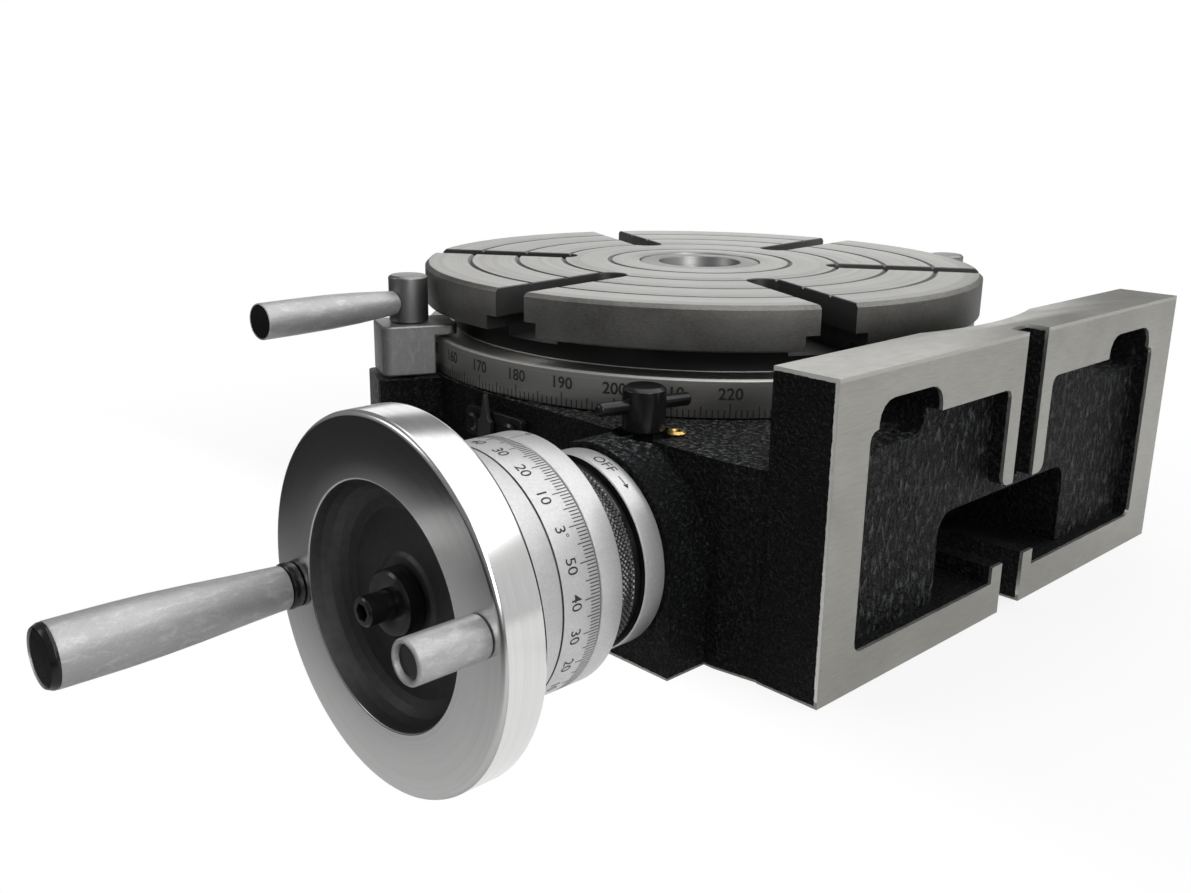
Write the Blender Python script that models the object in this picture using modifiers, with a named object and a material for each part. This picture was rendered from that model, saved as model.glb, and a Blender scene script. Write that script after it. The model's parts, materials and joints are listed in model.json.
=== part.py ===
"""Horizontal-vertical rotary table with a 200 mm T-slotted table and a 90:1 worm drive.

World frame: the table turns about Z, Z = 0 is the ground base face, +X points out of the
vertical mounting face and -Y points at the handwheel. Parts that turn about the worm axis
are drawn along their own Z, which points to the front, so their heights are -Y.
"""

import math

import bmesh
import bpy

MM = 0.001
GAP = 0.3 * MM  # clearance between neighbouring pieces
OVER = 1.0 * MM  # how far a cutter runs past the face it cuts
FULL_TURN = 2 * math.pi

# Table
TABLE_RADIUS = 100 * MM
DISC_THICKNESS = 13.7 * MM
DISC_CHAMFER = 1.2 * MM
NECK_RECESS = 10 * MM  # how far the neck lies inside the disc
FLANGE_HEIGHT = 12 * MM
NECK_HEIGHT = 8 * MM
FLANGE_CHAMFER = 0.7 * MM
RING_GROOVES = [33 * MM, 50 * MM, 67 * MM, 84 * MM]
RING_GROOVE_HALF = 0.9 * MM
RING_GROOVE_DEPTH = 0.9 * MM
SLOT_COUNT = 6
SLOT_ANGLE = math.radians(-23.9)  # first T-slot, as the table stands at rest
SLOT_WIDTH = 12 * MM
SLOT_HEAD_WIDTH = 21 * MM
SLOT_HEAD_HEIGHT = 8 * MM
SLOT_NECK_HEIGHT = 9 * MM
SLOT_INNER_RADIUS = 46 * MM

# Base casting
BASE_HEIGHT = 60 * MM
BASE_MARGIN = 1 * MM  # how far the base stands out past the table
WALL_CLEARANCE = 13.5 * MM  # from the table's edge to the back of the wall
WALL_THICKNESS = 20 * MM
WALL_STEP = 2 * MM  # the wall is this much narrower than the base, on each side
WALL_RISE = 27.8 * MM  # above the top of the base
SCALLOP_DEPTH = 4.5 * MM
POCKET_DEPTH = 5 * MM
FRAME_WIDTH = 15 * MM  # ground border at the sides of the recess
POCKET_BOTTOM_Z = 11 * MM
TOP_FRAME_WIDTH = 15.8 * MM
POCKET_CORNER = 3 * MM
RIB_HALF = 12.5 * MM
RIB_BOTTOM_Z = 42 * MM
SILL_TOP_Z = 16.3 * MM
KEYWAY_WIDTH = 12 * MM
KEYWAY_DEPTH = 7 * MM
CAVITY_HALF = 38 * MM
CAVITY_TOP_Z = 38 * MM
CAVITY_DEPTH = 41 * MM
CAVITY_CORNER = 6 * MM
BOLT_SLOT_WIDTH = 13 * MM
BOLT_SLOT_REACH = 42 * MM  # length of the lower bolt slot from the mounting face
WALL_SLOT_LENGTH = 30 * MM
WALL_SLOT_HEIGHT = 15 * MM
WALL_SLOT_MARGIN = 3.5 * MM  # from the outer side of the recess
WALL_SLOT_DROP = 8.3 * MM  # from the top of the wall
WALL_SLOT_CORNER = 6 * MM
FOOT_LENGTH = 21 * MM  # past the drum
FOOT_HALF = 17 * MM
FOOT_HEIGHT = 16 * MM
FOOT_SLOT_DEPTH = 17 * MM

# Worm drive
TOOTH_MODULE = 1.25 * MM
WHEEL_TEETH = 90
WORM_PITCH_RADIUS = 5.75 * MM
AXIS_Z = 30.4 * MM
ECCENTRICITY = 4.5 * MM
ADDENDUM = 0.95 * MM
DEDENDUM = 1.25 * MM
FLANK_ANGLE = math.radians(30)
FLANK_CLEARANCE = 0.35 * MM  # on each flank, along the worm
WORM_TURNS = 6
WORM_STEPS = 16  # facets to a turn
WHEEL_FACE = 10 * MM
WORM_SHOULDER = 2.25 * MM  # the shaft's journals stand this much above the worm's pitch line
WORM_RELIEF = 24 * MM  # half length of the waist that carries the worm
WINDOW_HALF = 34 * MM  # half length of the sleeve's opening towards the wheel
SLEEVE_RADIUS = 19 * MM
SLEEVE_REAR = -45 * MM
SLEEVE_BORE_RUN = 14 * MM  # the housing's bore goes on behind the sleeve
THRUST_COLLAR_RADIUS = 13 * MM
THRUST_COLLAR_WIDTH = 2.4 * MM
WORM_NUT_RADIUS = 10 * MM
WORM_NUT_WIDTH = 6 * MM
WORM_TAIL_RADIUS = 5 * MM
WORM_TAIL = 12 * MM
WINDOW_START = math.radians(145)
WINDOW_END = math.radians(305)
CHAMBER_MARGIN = 3.75 * MM  # past the wheel's pitch line
CHAMBER_DEPTH = 3.4 * MM  # below the wheel

# Worm housing and what stands on its front, as distances forward of the table axis
BARREL_RADIUS = 30 * MM
BARREL_LENGTH = 15 * MM  # past the drum
BARREL_ROOT = 9 * MM  # inside the drum
OFF_RING_STEP = 1.7 * MM  # inside the housing's radius
OFF_RING_WIDTH = 7.2 * MM
TURNING_RING_RADIUS = 27.5 * MM
TURNING_RING_NECK = 26.4 * MM
TURNING_RING_WIDTH = 9.8 * MM
TURNING_RING_NECK_WIDTH = 3.8 * MM
DIAL_RADIUS = 35.4 * MM
ZERO_RING_WIDTH = 8 * MM
DIAL_SCALE_WIDTH = 12.6 * MM
DIAL_WIDTH = 26.4 * MM
DIAL_HUB_RADIUS = 16 * MM
DIAL_SEAT_RADIUS = 7 * MM
DIAL_CHAMFER = 0.6 * MM

# Handwheel
HANDWHEEL_RADIUS = 49.2 * MM
HANDWHEEL_WIDTH = 13 * MM
HANDWHEEL_STANDOFF = 2.8 * MM  # from the dial
RIM_WIDTH = 16.9 * MM
DISH_DEPTH = 9.2 * MM
DISH_SLOPE = 3.6 * MM
WEB_THICKNESS = 3.2 * MM
RIM_CHAMFER = 1.5 * MM
WHEEL_HUB_RADIUS = 12 * MM
WHEEL_SEAT_RADIUS = 6 * MM
WHEEL_NUT_RADIUS = 8.8 * MM
WHEEL_NUT_HEIGHT = 5 * MM
WHEEL_SCREW_RADIUS = 3.9 * MM
WHEEL_SCREW_STANDOUT = 4.6 * MM
WHEEL_SCREW_DEPTH = 26 * MM
HANDLE_INSET = 8.5 * MM  # from the wheel's rim
LONG_HANDLE_ANGLE = math.radians(189)
SHORT_HANDLE_ANGLE = math.radians(9)
LONG_GRIP_LENGTH = 63.5 * MM
LONG_GRIP_ROOT_RADIUS = 6 * MM
LONG_GRIP_RADIUS = 8.4 * MM
LONG_COLLAR_WIDTH = 3 * MM
LONG_PIN_RADIUS = 3 * MM
LONG_PIN_HEAD_RADIUS = 5.2 * MM
LONG_PIN_HEAD = 3 * MM
PLUG_DEPTH = 3 * MM
PLUG_INSET = 1.2 * MM
SHORT_GRIP_LENGTH = 19.5 * MM
SHORT_GRIP_RADIUS = 5.4 * MM
SHORT_PIN_RADIUS = 2.5 * MM
SHORT_PIN_HEAD_RADIUS = 3.7 * MM
SHORT_PIN_HEAD = 2.5 * MM
SHORT_PIN_RECESS = 1.2 * MM

# Clamps
CLAMP_ANGLES = [math.radians(-113), math.radians(67)]
LEVER_ANGLES = [math.radians(-86), math.radians(150)]
JAW_MARGIN = 1.5 * MM  # from the table
JAW_LENGTH = 18 * MM
JAW_WIDTH = 19 * MM
JAW_LIFT = 0.9 * MM  # of the nose above the flange
STUD_INSET = 7 * MM  # from the jaw's inner end
JAW_CORNER = 3 * MM
NOSE_REACH = 8 * MM
NOSE_THICKNESS = 3.8 * MM
LUG_MARGIN = 1.8 * MM
LUG_DROP = 0.8 * MM  # room below the jaw for its travel
STUD_RADIUS = 4.9 * MM
STUD_DEPTH = 22 * MM
LEVER_HEAD_RADIUS = 6.6 * MM
LEVER_HEAD_HEIGHT = 15.6 * MM
LEVER_HANDLE_RISE = 7 * MM  # above the jaw
LEVER_CAP = 4 * MM  # solid end of the head above its thread
LEVER_TRAVEL = 1.2 * MM  # room above the stud
LEVER_LENGTH = 58 * MM
LEVER_ROOT_RADIUS = 4 * MM
LEVER_RADIUS = 5.7 * MM
LEVER_TIP = 2 * MM

# Lock screw on the worm housing
LOCK_SETBACK = 19.5 * MM  # from the front of the housing
LOCK_SEAT_DEPTH = 3 * MM  # below the top of the base
LOCK_SEAT_RADIUS = 9 * MM
LOCK_HEAD_RISE = 3.8 * MM  # above its seat
LOCK_HEAD_HEIGHT = 13 * MM
LOCK_HEAD_RADIUS = 6.3 * MM
LOCK_STEM_RADIUS = 2.9 * MM
LOCK_BAR_RADIUS = 2 * MM
LOCK_BAR_LENGTH = 31 * MM
LOCK_BAR_RISE = 7.5 * MM  # above the lower end of the head
LOCK_BAR_ANGLE = math.radians(77)

# Oiler and index pointer
OILER_X = 74 * MM
OILER_SETBACK = 10 * MM  # from the front of the base
OILER_RADIUS = 3 * MM
OILER_STEM_RADIUS = 2.4 * MM
OILER_WALL = 2.6 * MM  # from the eccentric sleeve up to the lower end of the stem
INDEX_LEFT = -6.5 * MM
INDEX_RIGHT = 21 * MM
INDEX_DROP = 4.5 * MM  # below the top of the base
INDEX_HEIGHT = 9.5 * MM
INDEX_THICKNESS = 2.4 * MM
POINTER_X = 5 * MM
POINTER_THICKNESS = 1.6 * MM
INDEX_SCREWS_X = [-2.2 * MM, 16.2 * MM]
INDEX_SCREW_RADIUS = 1.5 * MM

# Spindle, inside
SPINDLE_RADIUS = 30 * MM
SPINDLE_FLANGE_WIDTH = 20 * MM
SPINDLE_BOTTOM_Z = 5 * MM
SOCKET_OUTER_RADIUS = 22 * MM
SOCKET_MOUTH_RADIUS = 15 * MM
SOCKET_TAPER_TOP_RADIUS = 11.9 * MM
SOCKET_TAPER_BOTTOM_RADIUS = 10.2 * MM
SOCKET_BOTTOM_Z = 34 * MM
THROUGH_RADIUS = 9 * MM
BUSH_WALL = 5.4 * MM
COVER_MARGIN = 6 * MM
COVER_THICKNESS = 3 * MM
NUT_WIDTH = 10 * MM
NUT_HEIGHT = 6 * MM
THRUST_WASHER_THICKNESS = 2 * MM
WEB_THICKNESS_BELOW = 8.9 * MM
WHEEL_BOLTS = 4
WHEEL_BOLT_INSET = 12 * MM  # outside the spindle's journal
WHEEL_BOLT_RADIUS = 2.4 * MM
WHEEL_BOLT_HEAD_RADIUS = 4.2 * MM
WHEEL_BOLT_HEAD_HEIGHT = 4 * MM
WHEEL_BOLT_GRIP = 11 * MM

# Sizes that follow from those above
WHEEL_PITCH_RADIUS = TOOTH_MODULE * WHEEL_TEETH / 2
CENTRE_DISTANCE = WHEEL_PITCH_RADIUS + WORM_PITCH_RADIUS
SLEEVE_X = CENTRE_DISTANCE + ECCENTRICITY
WORM_JOURNAL_RADIUS = WORM_PITCH_RADIUS + WORM_SHOULDER
LEAD = math.pi * TOOTH_MODULE
FLANGE_RADIUS = TABLE_RADIUS
NECK_RADIUS = TABLE_RADIUS - NECK_RECESS
FLANGE_BOTTOM_Z = BASE_HEIGHT + GAP
FLANGE_TOP_Z = FLANGE_BOTTOM_Z + FLANGE_HEIGHT
DISC_BOTTOM_Z = FLANGE_TOP_Z + NECK_HEIGHT
TABLE_TOP_Z = DISC_BOTTOM_Z + DISC_THICKNESS
BASE_HALF = TABLE_RADIUS + BASE_MARGIN
SHOULDER_X = TABLE_RADIUS
WALL_BACK_X = TABLE_RADIUS + WALL_CLEARANCE
WALL_FACE_X = WALL_BACK_X + WALL_THICKNESS
WALL_HALF = BASE_HALF - WALL_STEP
WALL_HEIGHT = BASE_HEIGHT + WALL_RISE
SCALLOP_RADIUS = WALL_BACK_X + SCALLOP_DEPTH
POCKET_HALF = WALL_HALF - FRAME_WIDTH
POCKET_TOP_Z = WALL_HEIGHT - TOP_FRAME_WIDTH
WALL_SLOT_OUTER = POCKET_HALF - WALL_SLOT_MARGIN
WALL_SLOT_INNER = WALL_SLOT_OUTER - WALL_SLOT_LENGTH
WALL_SLOT_TOP_Z = WALL_HEIGHT - WALL_SLOT_DROP
WALL_SLOT_BOTTOM_Z = WALL_SLOT_TOP_Z - WALL_SLOT_HEIGHT
FOOT_REACH = BASE_HALF + FOOT_LENGTH
BARREL_FRONT = BASE_HALF + BARREL_LENGTH
BARREL_BACK = BASE_HALF - BARREL_ROOT
OFF_RING_RADIUS = BARREL_RADIUS - OFF_RING_STEP
OFF_RING_BACK = BARREL_FRONT + GAP
OFF_RING_FRONT = OFF_RING_BACK + OFF_RING_WIDTH
TURNING_RING_BACK = OFF_RING_FRONT + GAP
TURNING_RING_FRONT = TURNING_RING_BACK + TURNING_RING_WIDTH
ZERO_RING_BACK = TURNING_RING_FRONT + GAP
ZERO_RING_FRONT = ZERO_RING_BACK + ZERO_RING_WIDTH
DIAL_BACK = ZERO_RING_FRONT + GAP
DIAL_FRONT = DIAL_BACK + DIAL_WIDTH
HANDWHEEL_FRONT = DIAL_FRONT + HANDWHEEL_STANDOFF + HANDWHEEL_WIDTH
WHEEL_SCREW_FRONT = HANDWHEEL_FRONT + WHEEL_SCREW_STANDOUT
DISH_RADIUS = HANDWHEEL_RADIUS - RIM_WIDTH
HANDLE_CIRCLE = HANDWHEEL_RADIUS - HANDLE_INSET
DISH_FLOOR = HANDWHEEL_FRONT - DISH_DEPTH
WHEEL_HUB_BACK = DIAL_FRONT + 2 * GAP
WHEEL_TOP_Z = AXIS_Z + WHEEL_FACE / 2
WHEEL_BOTTOM_Z = AXIS_Z - WHEEL_FACE / 2
CHAMBER_RADIUS = WHEEL_PITCH_RADIUS + CHAMBER_MARGIN
CHAMBER_FLOOR_Z = WHEEL_BOTTOM_Z - CHAMBER_DEPTH
WEB_BOTTOM_Z = CHAMBER_FLOOR_Z - WEB_THICKNESS_BELOW
SPINDLE_FLANGE_Z = WHEEL_TOP_Z + GAP
SPINDLE_FLANGE_RADIUS = SPINDLE_RADIUS + SPINDLE_FLANGE_WIDTH
NUT_RADIUS = SPINDLE_RADIUS + NUT_WIDTH
COVER_RADIUS = NUT_RADIUS + COVER_MARGIN
WHEEL_BOLT_CIRCLE = SPINDLE_RADIUS + WHEEL_BOLT_INSET
JAW_INNER = TABLE_RADIUS + JAW_MARGIN
JAW_OUTER = JAW_INNER + JAW_LENGTH
CLAMP_RADIUS = JAW_INNER + STUD_INSET
LUG_TOP_Z = BASE_HEIGHT - LUG_DROP
JAW_BOTTOM_Z = BASE_HEIGHT
JAW_TOP_Z = FLANGE_TOP_Z + JAW_LIFT + NOSE_THICKNESS
LEVER_HANDLE_Z = JAW_TOP_Z + LEVER_HANDLE_RISE
LOCK_FORWARD = BARREL_FRONT - LOCK_SETBACK
LOCK_SEAT_Z = BASE_HEIGHT - LOCK_SEAT_DEPTH
LOCK_HEAD_Z = LOCK_SEAT_Z + LOCK_HEAD_RISE
LOCK_BAR_Z = LOCK_HEAD_Z + LOCK_BAR_RISE
OILER_FORWARD = BASE_HALF - OILER_SETBACK
OILER_TIP_Z = AXIS_Z + SLEEVE_RADIUS + OILER_WALL
INDEX_TOP_Z = BASE_HEIGHT - INDEX_DROP
INDEX_BOTTOM_Z = INDEX_TOP_Z - INDEX_HEIGHT

PARTS = "rotary_table"
CUTTERS = "cutters"


def clear_scene():
    for obj in list(bpy.data.objects):
        bpy.data.objects.remove(obj, do_unlink=True)
    for name in (PARTS, CUTTERS):
        collection = bpy.data.collections.new(name)
        bpy.context.scene.collection.children.link(collection)


def new_material(name, colour, roughness, metallic):
    material = bpy.data.materials.new(name)
    material.use_nodes = True
    shader = material.node_tree.nodes["Principled BSDF"]
    shader.inputs["Base Color"].default_value = (*colour, 1.0)
    shader.inputs["Roughness"].default_value = roughness
    shader.inputs["Metallic"].default_value = metallic
    return material


def make_materials():
    return {
        "black_paint": new_material("black_paint", (0.025, 0.027, 0.03), 0.55, 0.0),
        "ground_iron": new_material("ground_iron", (0.55, 0.55, 0.53), 0.35, 1.0),
        "polished_steel": new_material("polished_steel", (0.8, 0.8, 0.79), 0.12, 1.0),
        "satin_chrome": new_material("satin_chrome", (0.72, 0.73, 0.73), 0.32, 1.0),
        "black_oxide": new_material("black_oxide", (0.03, 0.03, 0.032), 0.4, 0.6),
        "cast_steel": new_material("cast_steel", (0.42, 0.43, 0.43), 0.45, 0.9),
        "tool_steel": new_material("tool_steel", (0.45, 0.45, 0.46), 0.3, 1.0),
        "bronze": new_material("bronze", (0.55, 0.36, 0.16), 0.35, 1.0),
        "brass": new_material("brass", (0.72, 0.53, 0.2), 0.25, 1.0),
    }


def finish_object(obj, collection, material=None):
    """Moves an object to its collection and gives it its material and shading."""
    for old in list(obj.users_collection):
        old.objects.unlink(obj)
    bpy.data.collections[collection].objects.link(obj)
    if collection == CUTTERS:
        obj.hide_render = True
        obj.display_type = "WIRE"
    if material is not None:
        obj.data.materials.clear()
        obj.data.materials.append(material)
    return obj


def axis_empty(name, location, parent=None):
    """An empty on a joint's axis; the pieces that move about it are its children."""
    empty = bpy.data.objects.new(name, None)
    empty.empty_display_size = 20 * MM
    bpy.data.collections[PARTS].objects.link(empty)
    empty["place"] = location
    place(empty, location, parent)
    return empty


def place(obj, location, parent=None, rotation=(0.0, 0.0, 0.0)):
    """Puts an object at a world location, as a child of an axis empty where one is given."""
    base = parent["place"] if parent is not None else (0.0, 0.0, 0.0)
    obj.parent = parent
    obj.location = [here - there for here, there in zip(location, base)]
    obj.rotation_euler = rotation
    return obj


def arc(centre, radius, start, end, steps):
    """Points along a circular arc in the plane, both ends included."""
    angles = [start + (end - start) * i / steps for i in range(steps + 1)]
    return [(centre[0] + radius * math.cos(a), centre[1] + radius * math.sin(a)) for a in angles]


def rounded(points, radii, steps=4):
    """An outline with its corners turned to arcs; radii holds one radius for each corner."""
    outline = []
    count = len(points)
    for i, (corner, radius) in enumerate(zip(points, radii)):
        if radius <= 0:
            outline.append(corner)
            continue
        before = points[i - 1]
        after = points[(i + 1) % count]
        to_before = unit(before[0] - corner[0], before[1] - corner[1])
        to_after = unit(after[0] - corner[0], after[1] - corner[1])
        cosine = to_before[0] * to_after[0] + to_before[1] * to_after[1]
        half = math.acos(max(-1.0, min(1.0, cosine))) / 2
        reach = radius / math.tan(half)
        bisector = unit(to_before[0] + to_after[0], to_before[1] + to_after[1])
        depth = radius / math.sin(half)
        centre = (corner[0] + bisector[0] * depth, corner[1] + bisector[1] * depth)
        first = (corner[0] + to_before[0] * reach, corner[1] + to_before[1] * reach)
        last = (corner[0] + to_after[0] * reach, corner[1] + to_after[1] * reach)
        start = math.atan2(first[1] - centre[1], first[0] - centre[0])
        end = math.atan2(last[1] - centre[1], last[0] - centre[0])
        sweep = (end - start + math.pi) % FULL_TURN - math.pi
        outline += arc(centre, radius, start, start + sweep, steps)
    return outline


def unit(x, y):
    length = math.hypot(x, y)
    return (x / length, y / length)


def rectangle(low_x, high_x, low_y, high_y):
    return [(low_x, low_y), (high_x, low_y), (high_x, high_y), (low_x, high_y)]


def plate(name, outline, low, high, collection=PARTS, material=None):
    """A flat outline raised from low to high along its own Z."""
    curve = bpy.data.curves.new(name, "CURVE")
    curve.dimensions = "2D"
    curve.fill_mode = "BOTH"
    curve.extrude = (high - low) / 2
    spline = curve.splines.new("POLY")
    spline.points.add(len(outline) - 1)
    for point, (x, y) in zip(spline.points, outline):
        point.co = (x, y, 0.0, 1.0)
    spline.use_cyclic_u = True
    source = bpy.data.objects.new(name + "_outline", curve)
    bpy.context.scene.collection.objects.link(source)
    graph = bpy.context.evaluated_depsgraph_get()
    mesh = bpy.data.meshes.new_from_object(source.evaluated_get(graph))
    mesh.name = name
    shape = bmesh.new()
    shape.from_mesh(mesh)
    bmesh.ops.remove_doubles(shape, verts=shape.verts, dist=0.001 * MM)
    bmesh.ops.translate(shape, verts=shape.verts, vec=(0.0, 0.0, (high + low) / 2))
    bmesh.ops.recalc_face_normals(shape, faces=shape.faces)
    shape.to_mesh(mesh)
    shape.free()
    bpy.data.objects.remove(source, do_unlink=True)
    bpy.data.curves.remove(curve)
    obj = bpy.data.objects.new(name, mesh)
    mesh.materials.clear()
    bpy.context.scene.collection.objects.link(obj)
    return finish_object(obj, collection, material)


def turned(name, profile, segments, collection=PARTS, material=None):
    """A turned solid about its own Z. The profile runs from the top down the outer side.

    A profile that starts and ends on the axis gives a plain solid, any other one is closed
    to a ring.
    """
    mesh = bpy.data.meshes.new(name)
    count = len(profile)
    edges = [(i, i + 1) for i in range(count - 1)]
    if profile[0][0] > 0 or profile[-1][0] > 0:
        edges.append((count - 1, 0))
    mesh.from_pydata([(radius, 0.0, height) for radius, height in profile], edges, [])
    obj = bpy.data.objects.new(name, mesh)
    bpy.context.scene.collection.objects.link(obj)
    screw = obj.modifiers.new("turn", "SCREW")
    screw.angle = FULL_TURN
    screw.steps = segments
    screw.render_steps = segments
    screw.use_merge_vertices = True
    screw.merge_threshold = 0.001 * MM
    screw.use_smooth_shade = True
    return finish_object(obj, collection, material)


def smooth_by_angle(obj, degrees=30):
    """Applies the modifiers made so far and shades round faces smooth between sharp edges."""
    graph = bpy.context.evaluated_depsgraph_get()
    mesh = bpy.data.meshes.new_from_object(obj.evaluated_get(graph))
    mesh.name = obj.name
    old = obj.data
    obj.modifiers.clear()
    obj.data = mesh
    bpy.data.meshes.remove(old)
    mesh.shade_smooth()
    mesh.set_sharp_from_angle(angle=math.radians(degrees))
    return obj


def ring(inner, outer, bottom, top, chamfer=0.0):
    """The profile of a plain ring with chamfered outer edges."""
    if chamfer <= 0:
        return [(inner, top), (outer, top), (outer, bottom), (inner, bottom)]
    return [
        (inner, top),
        (outer - chamfer, top),
        (outer, top - chamfer),
        (outer, bottom + chamfer),
        (outer - chamfer, bottom),
        (inner, bottom),
    ]


def rod(radius, bottom, top, chamfer=0.0):
    """The profile of a plain round bar."""
    if chamfer <= 0:
        return [(0.0, top), (radius, top), (radius, bottom), (0.0, bottom)]
    return [
        (0.0, top),
        (radius - chamfer, top),
        (radius, top - chamfer),
        (radius, bottom + chamfer),
        (radius - chamfer, bottom),
        (0.0, bottom),
    ]


def boolean(target, tool, operation):
    modifier = target.modifiers.new(tool.name, "BOOLEAN")
    modifier.operation = operation
    modifier.solver = "EXACT"
    modifier.object = tool
    return target


def cut(target, *tools):
    for tool in tools:
        boolean(target, tool, "DIFFERENCE")
    return target


def join(target, *tools):
    for tool in tools:
        boolean(target, tool, "UNION")
    return target


def drill(name, radius, bottom, top, location, parent=None, rotation=(0.0, 0.0, 0.0), segments=20):
    """A round cutter along its own Z."""
    tool = turned(name, rod(radius, bottom, top), segments, CUTTERS)
    return place(tool, location, parent, rotation)


FORWARD = (math.pi / 2, 0.0, 0.0)  # turns a piece's own Z to world -Y
ALONG_X = (math.pi / 2, 0.0, math.pi / 2)  # turns own X to world Y, own Y to Z, own Z to X


def polar(radius, angle):
    return (radius * math.cos(angle), radius * math.sin(angle))


# Base casting and what is fixed to it


def base_outline():
    """The drum under the table, carried straight on to the mounting wall."""
    drum = arc((0.0, 0.0), BASE_HALF, math.pi / 2, 3 * math.pi / 2, 40)
    inside_wall = WALL_BACK_X + WALL_THICKNESS / 2
    tuck = WALL_HALF - 0.5 * MM
    front = [(SHOULDER_X, -BASE_HALF), (WALL_BACK_X + OVER, -tuck), (inside_wall, -tuck)]
    return drum + front + [(x, -y) for x, y in reversed(front)]


def wall_outline():
    """The wall in plan, hollowed at the back to clear the table."""
    half_angle = math.acos(WALL_BACK_X / SCALLOP_RADIUS)
    scallop = arc((0.0, 0.0), SCALLOP_RADIUS, half_angle, -half_angle, 12)
    return [(WALL_BACK_X, -WALL_HALF), (WALL_FACE_X, -WALL_HALF), (WALL_FACE_X, WALL_HALF),
            (WALL_BACK_X, WALL_HALF)] + scallop


def barrel_outline():
    """The worm housing seen from the front: round on top, upright below its axis."""
    top = arc((SLEEVE_X, AXIS_Z), BARREL_RADIUS, 0.0, math.pi, 28)
    return top + [(SLEEVE_X - BARREL_RADIUS, 0.0), (SLEEVE_X + BARREL_RADIUS, 0.0)]


def pocket_outline():
    """The shallow recess of the mounting face round its key rib and its sill."""
    points = [
        (-POCKET_HALF, POCKET_BOTTOM_Z),
        (-RIB_HALF, POCKET_BOTTOM_Z),
        (-RIB_HALF, SILL_TOP_Z),
        (RIB_HALF, SILL_TOP_Z),
        (RIB_HALF, POCKET_BOTTOM_Z),
        (POCKET_HALF, POCKET_BOTTOM_Z),
        (POCKET_HALF, POCKET_TOP_Z),
        (RIB_HALF, POCKET_TOP_Z),
        (RIB_HALF, RIB_BOTTOM_Z),
        (-RIB_HALF, RIB_BOTTOM_Z),
        (-RIB_HALF, POCKET_TOP_Z),
        (-POCKET_HALF, POCKET_TOP_Z),
    ]
    corner = POCKET_CORNER
    return rounded(points, [corner, 0, 0, 0, 0, corner, corner, corner, corner, corner, corner, corner], 3)


def wall_cutters():
    """The recess, key slots, bolt slots and bolt cavity of the mounting wall."""
    face = (0.0, 0.0, 0.0)
    front = WALL_FACE_X + OVER
    tools = []

    def through_x(name, outline, low, high=front):
        tools.append(place(plate(name, outline, low, high, CUTTERS), face, None, ALONG_X))

    floor_x = WALL_FACE_X - POCKET_DEPTH
    through_x("wall_recess", pocket_outline(), floor_x)
    half_key = KEYWAY_WIDTH / 2
    key = rectangle(-half_key, half_key, RIB_BOTTOM_Z - OVER, WALL_HEIGHT + OVER)
    through_x("wall_keyway", key, WALL_FACE_X - KEYWAY_DEPTH)
    cavity = [
        (-CAVITY_HALF, POCKET_BOTTOM_Z),
        (-RIB_HALF, POCKET_BOTTOM_Z),
        (-RIB_HALF, SILL_TOP_Z),
        (RIB_HALF, SILL_TOP_Z),
        (RIB_HALF, POCKET_BOTTOM_Z),
        (CAVITY_HALF, POCKET_BOTTOM_Z),
        (CAVITY_HALF, CAVITY_TOP_Z),
        (-CAVITY_HALF, CAVITY_TOP_Z),
    ]
    cavity = rounded(cavity, [0, 0, 0, 0, 0, 0, CAVITY_CORNER, CAVITY_CORNER])
    through_x("bolt_cavity", cavity, WALL_FACE_X - CAVITY_DEPTH, floor_x + OVER / 2)
    for side, name in ((-1, "front_wall_slot"), (1, "rear_wall_slot")):
        low, high = sorted((side * WALL_SLOT_INNER, side * WALL_SLOT_OUTER))
        slot = rectangle(low, high, WALL_SLOT_BOTTOM_Z, WALL_SLOT_TOP_Z)
        through_x(name, rounded(slot, [WALL_SLOT_CORNER] * 4), WALL_BACK_X - 5 * OVER)
    half = BOLT_SLOT_WIDTH / 2
    end_x = WALL_FACE_X - BOLT_SLOT_REACH + half
    lower = arc((end_x, 0.0), half, math.pi / 2, 3 * math.pi / 2, 8)
    lower += [(front, -half), (front, half)]
    tools.append(plate("lower_bolt_slot", lower, -OVER, SILL_TOP_Z + OVER, CUTTERS))
    return tools


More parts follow.
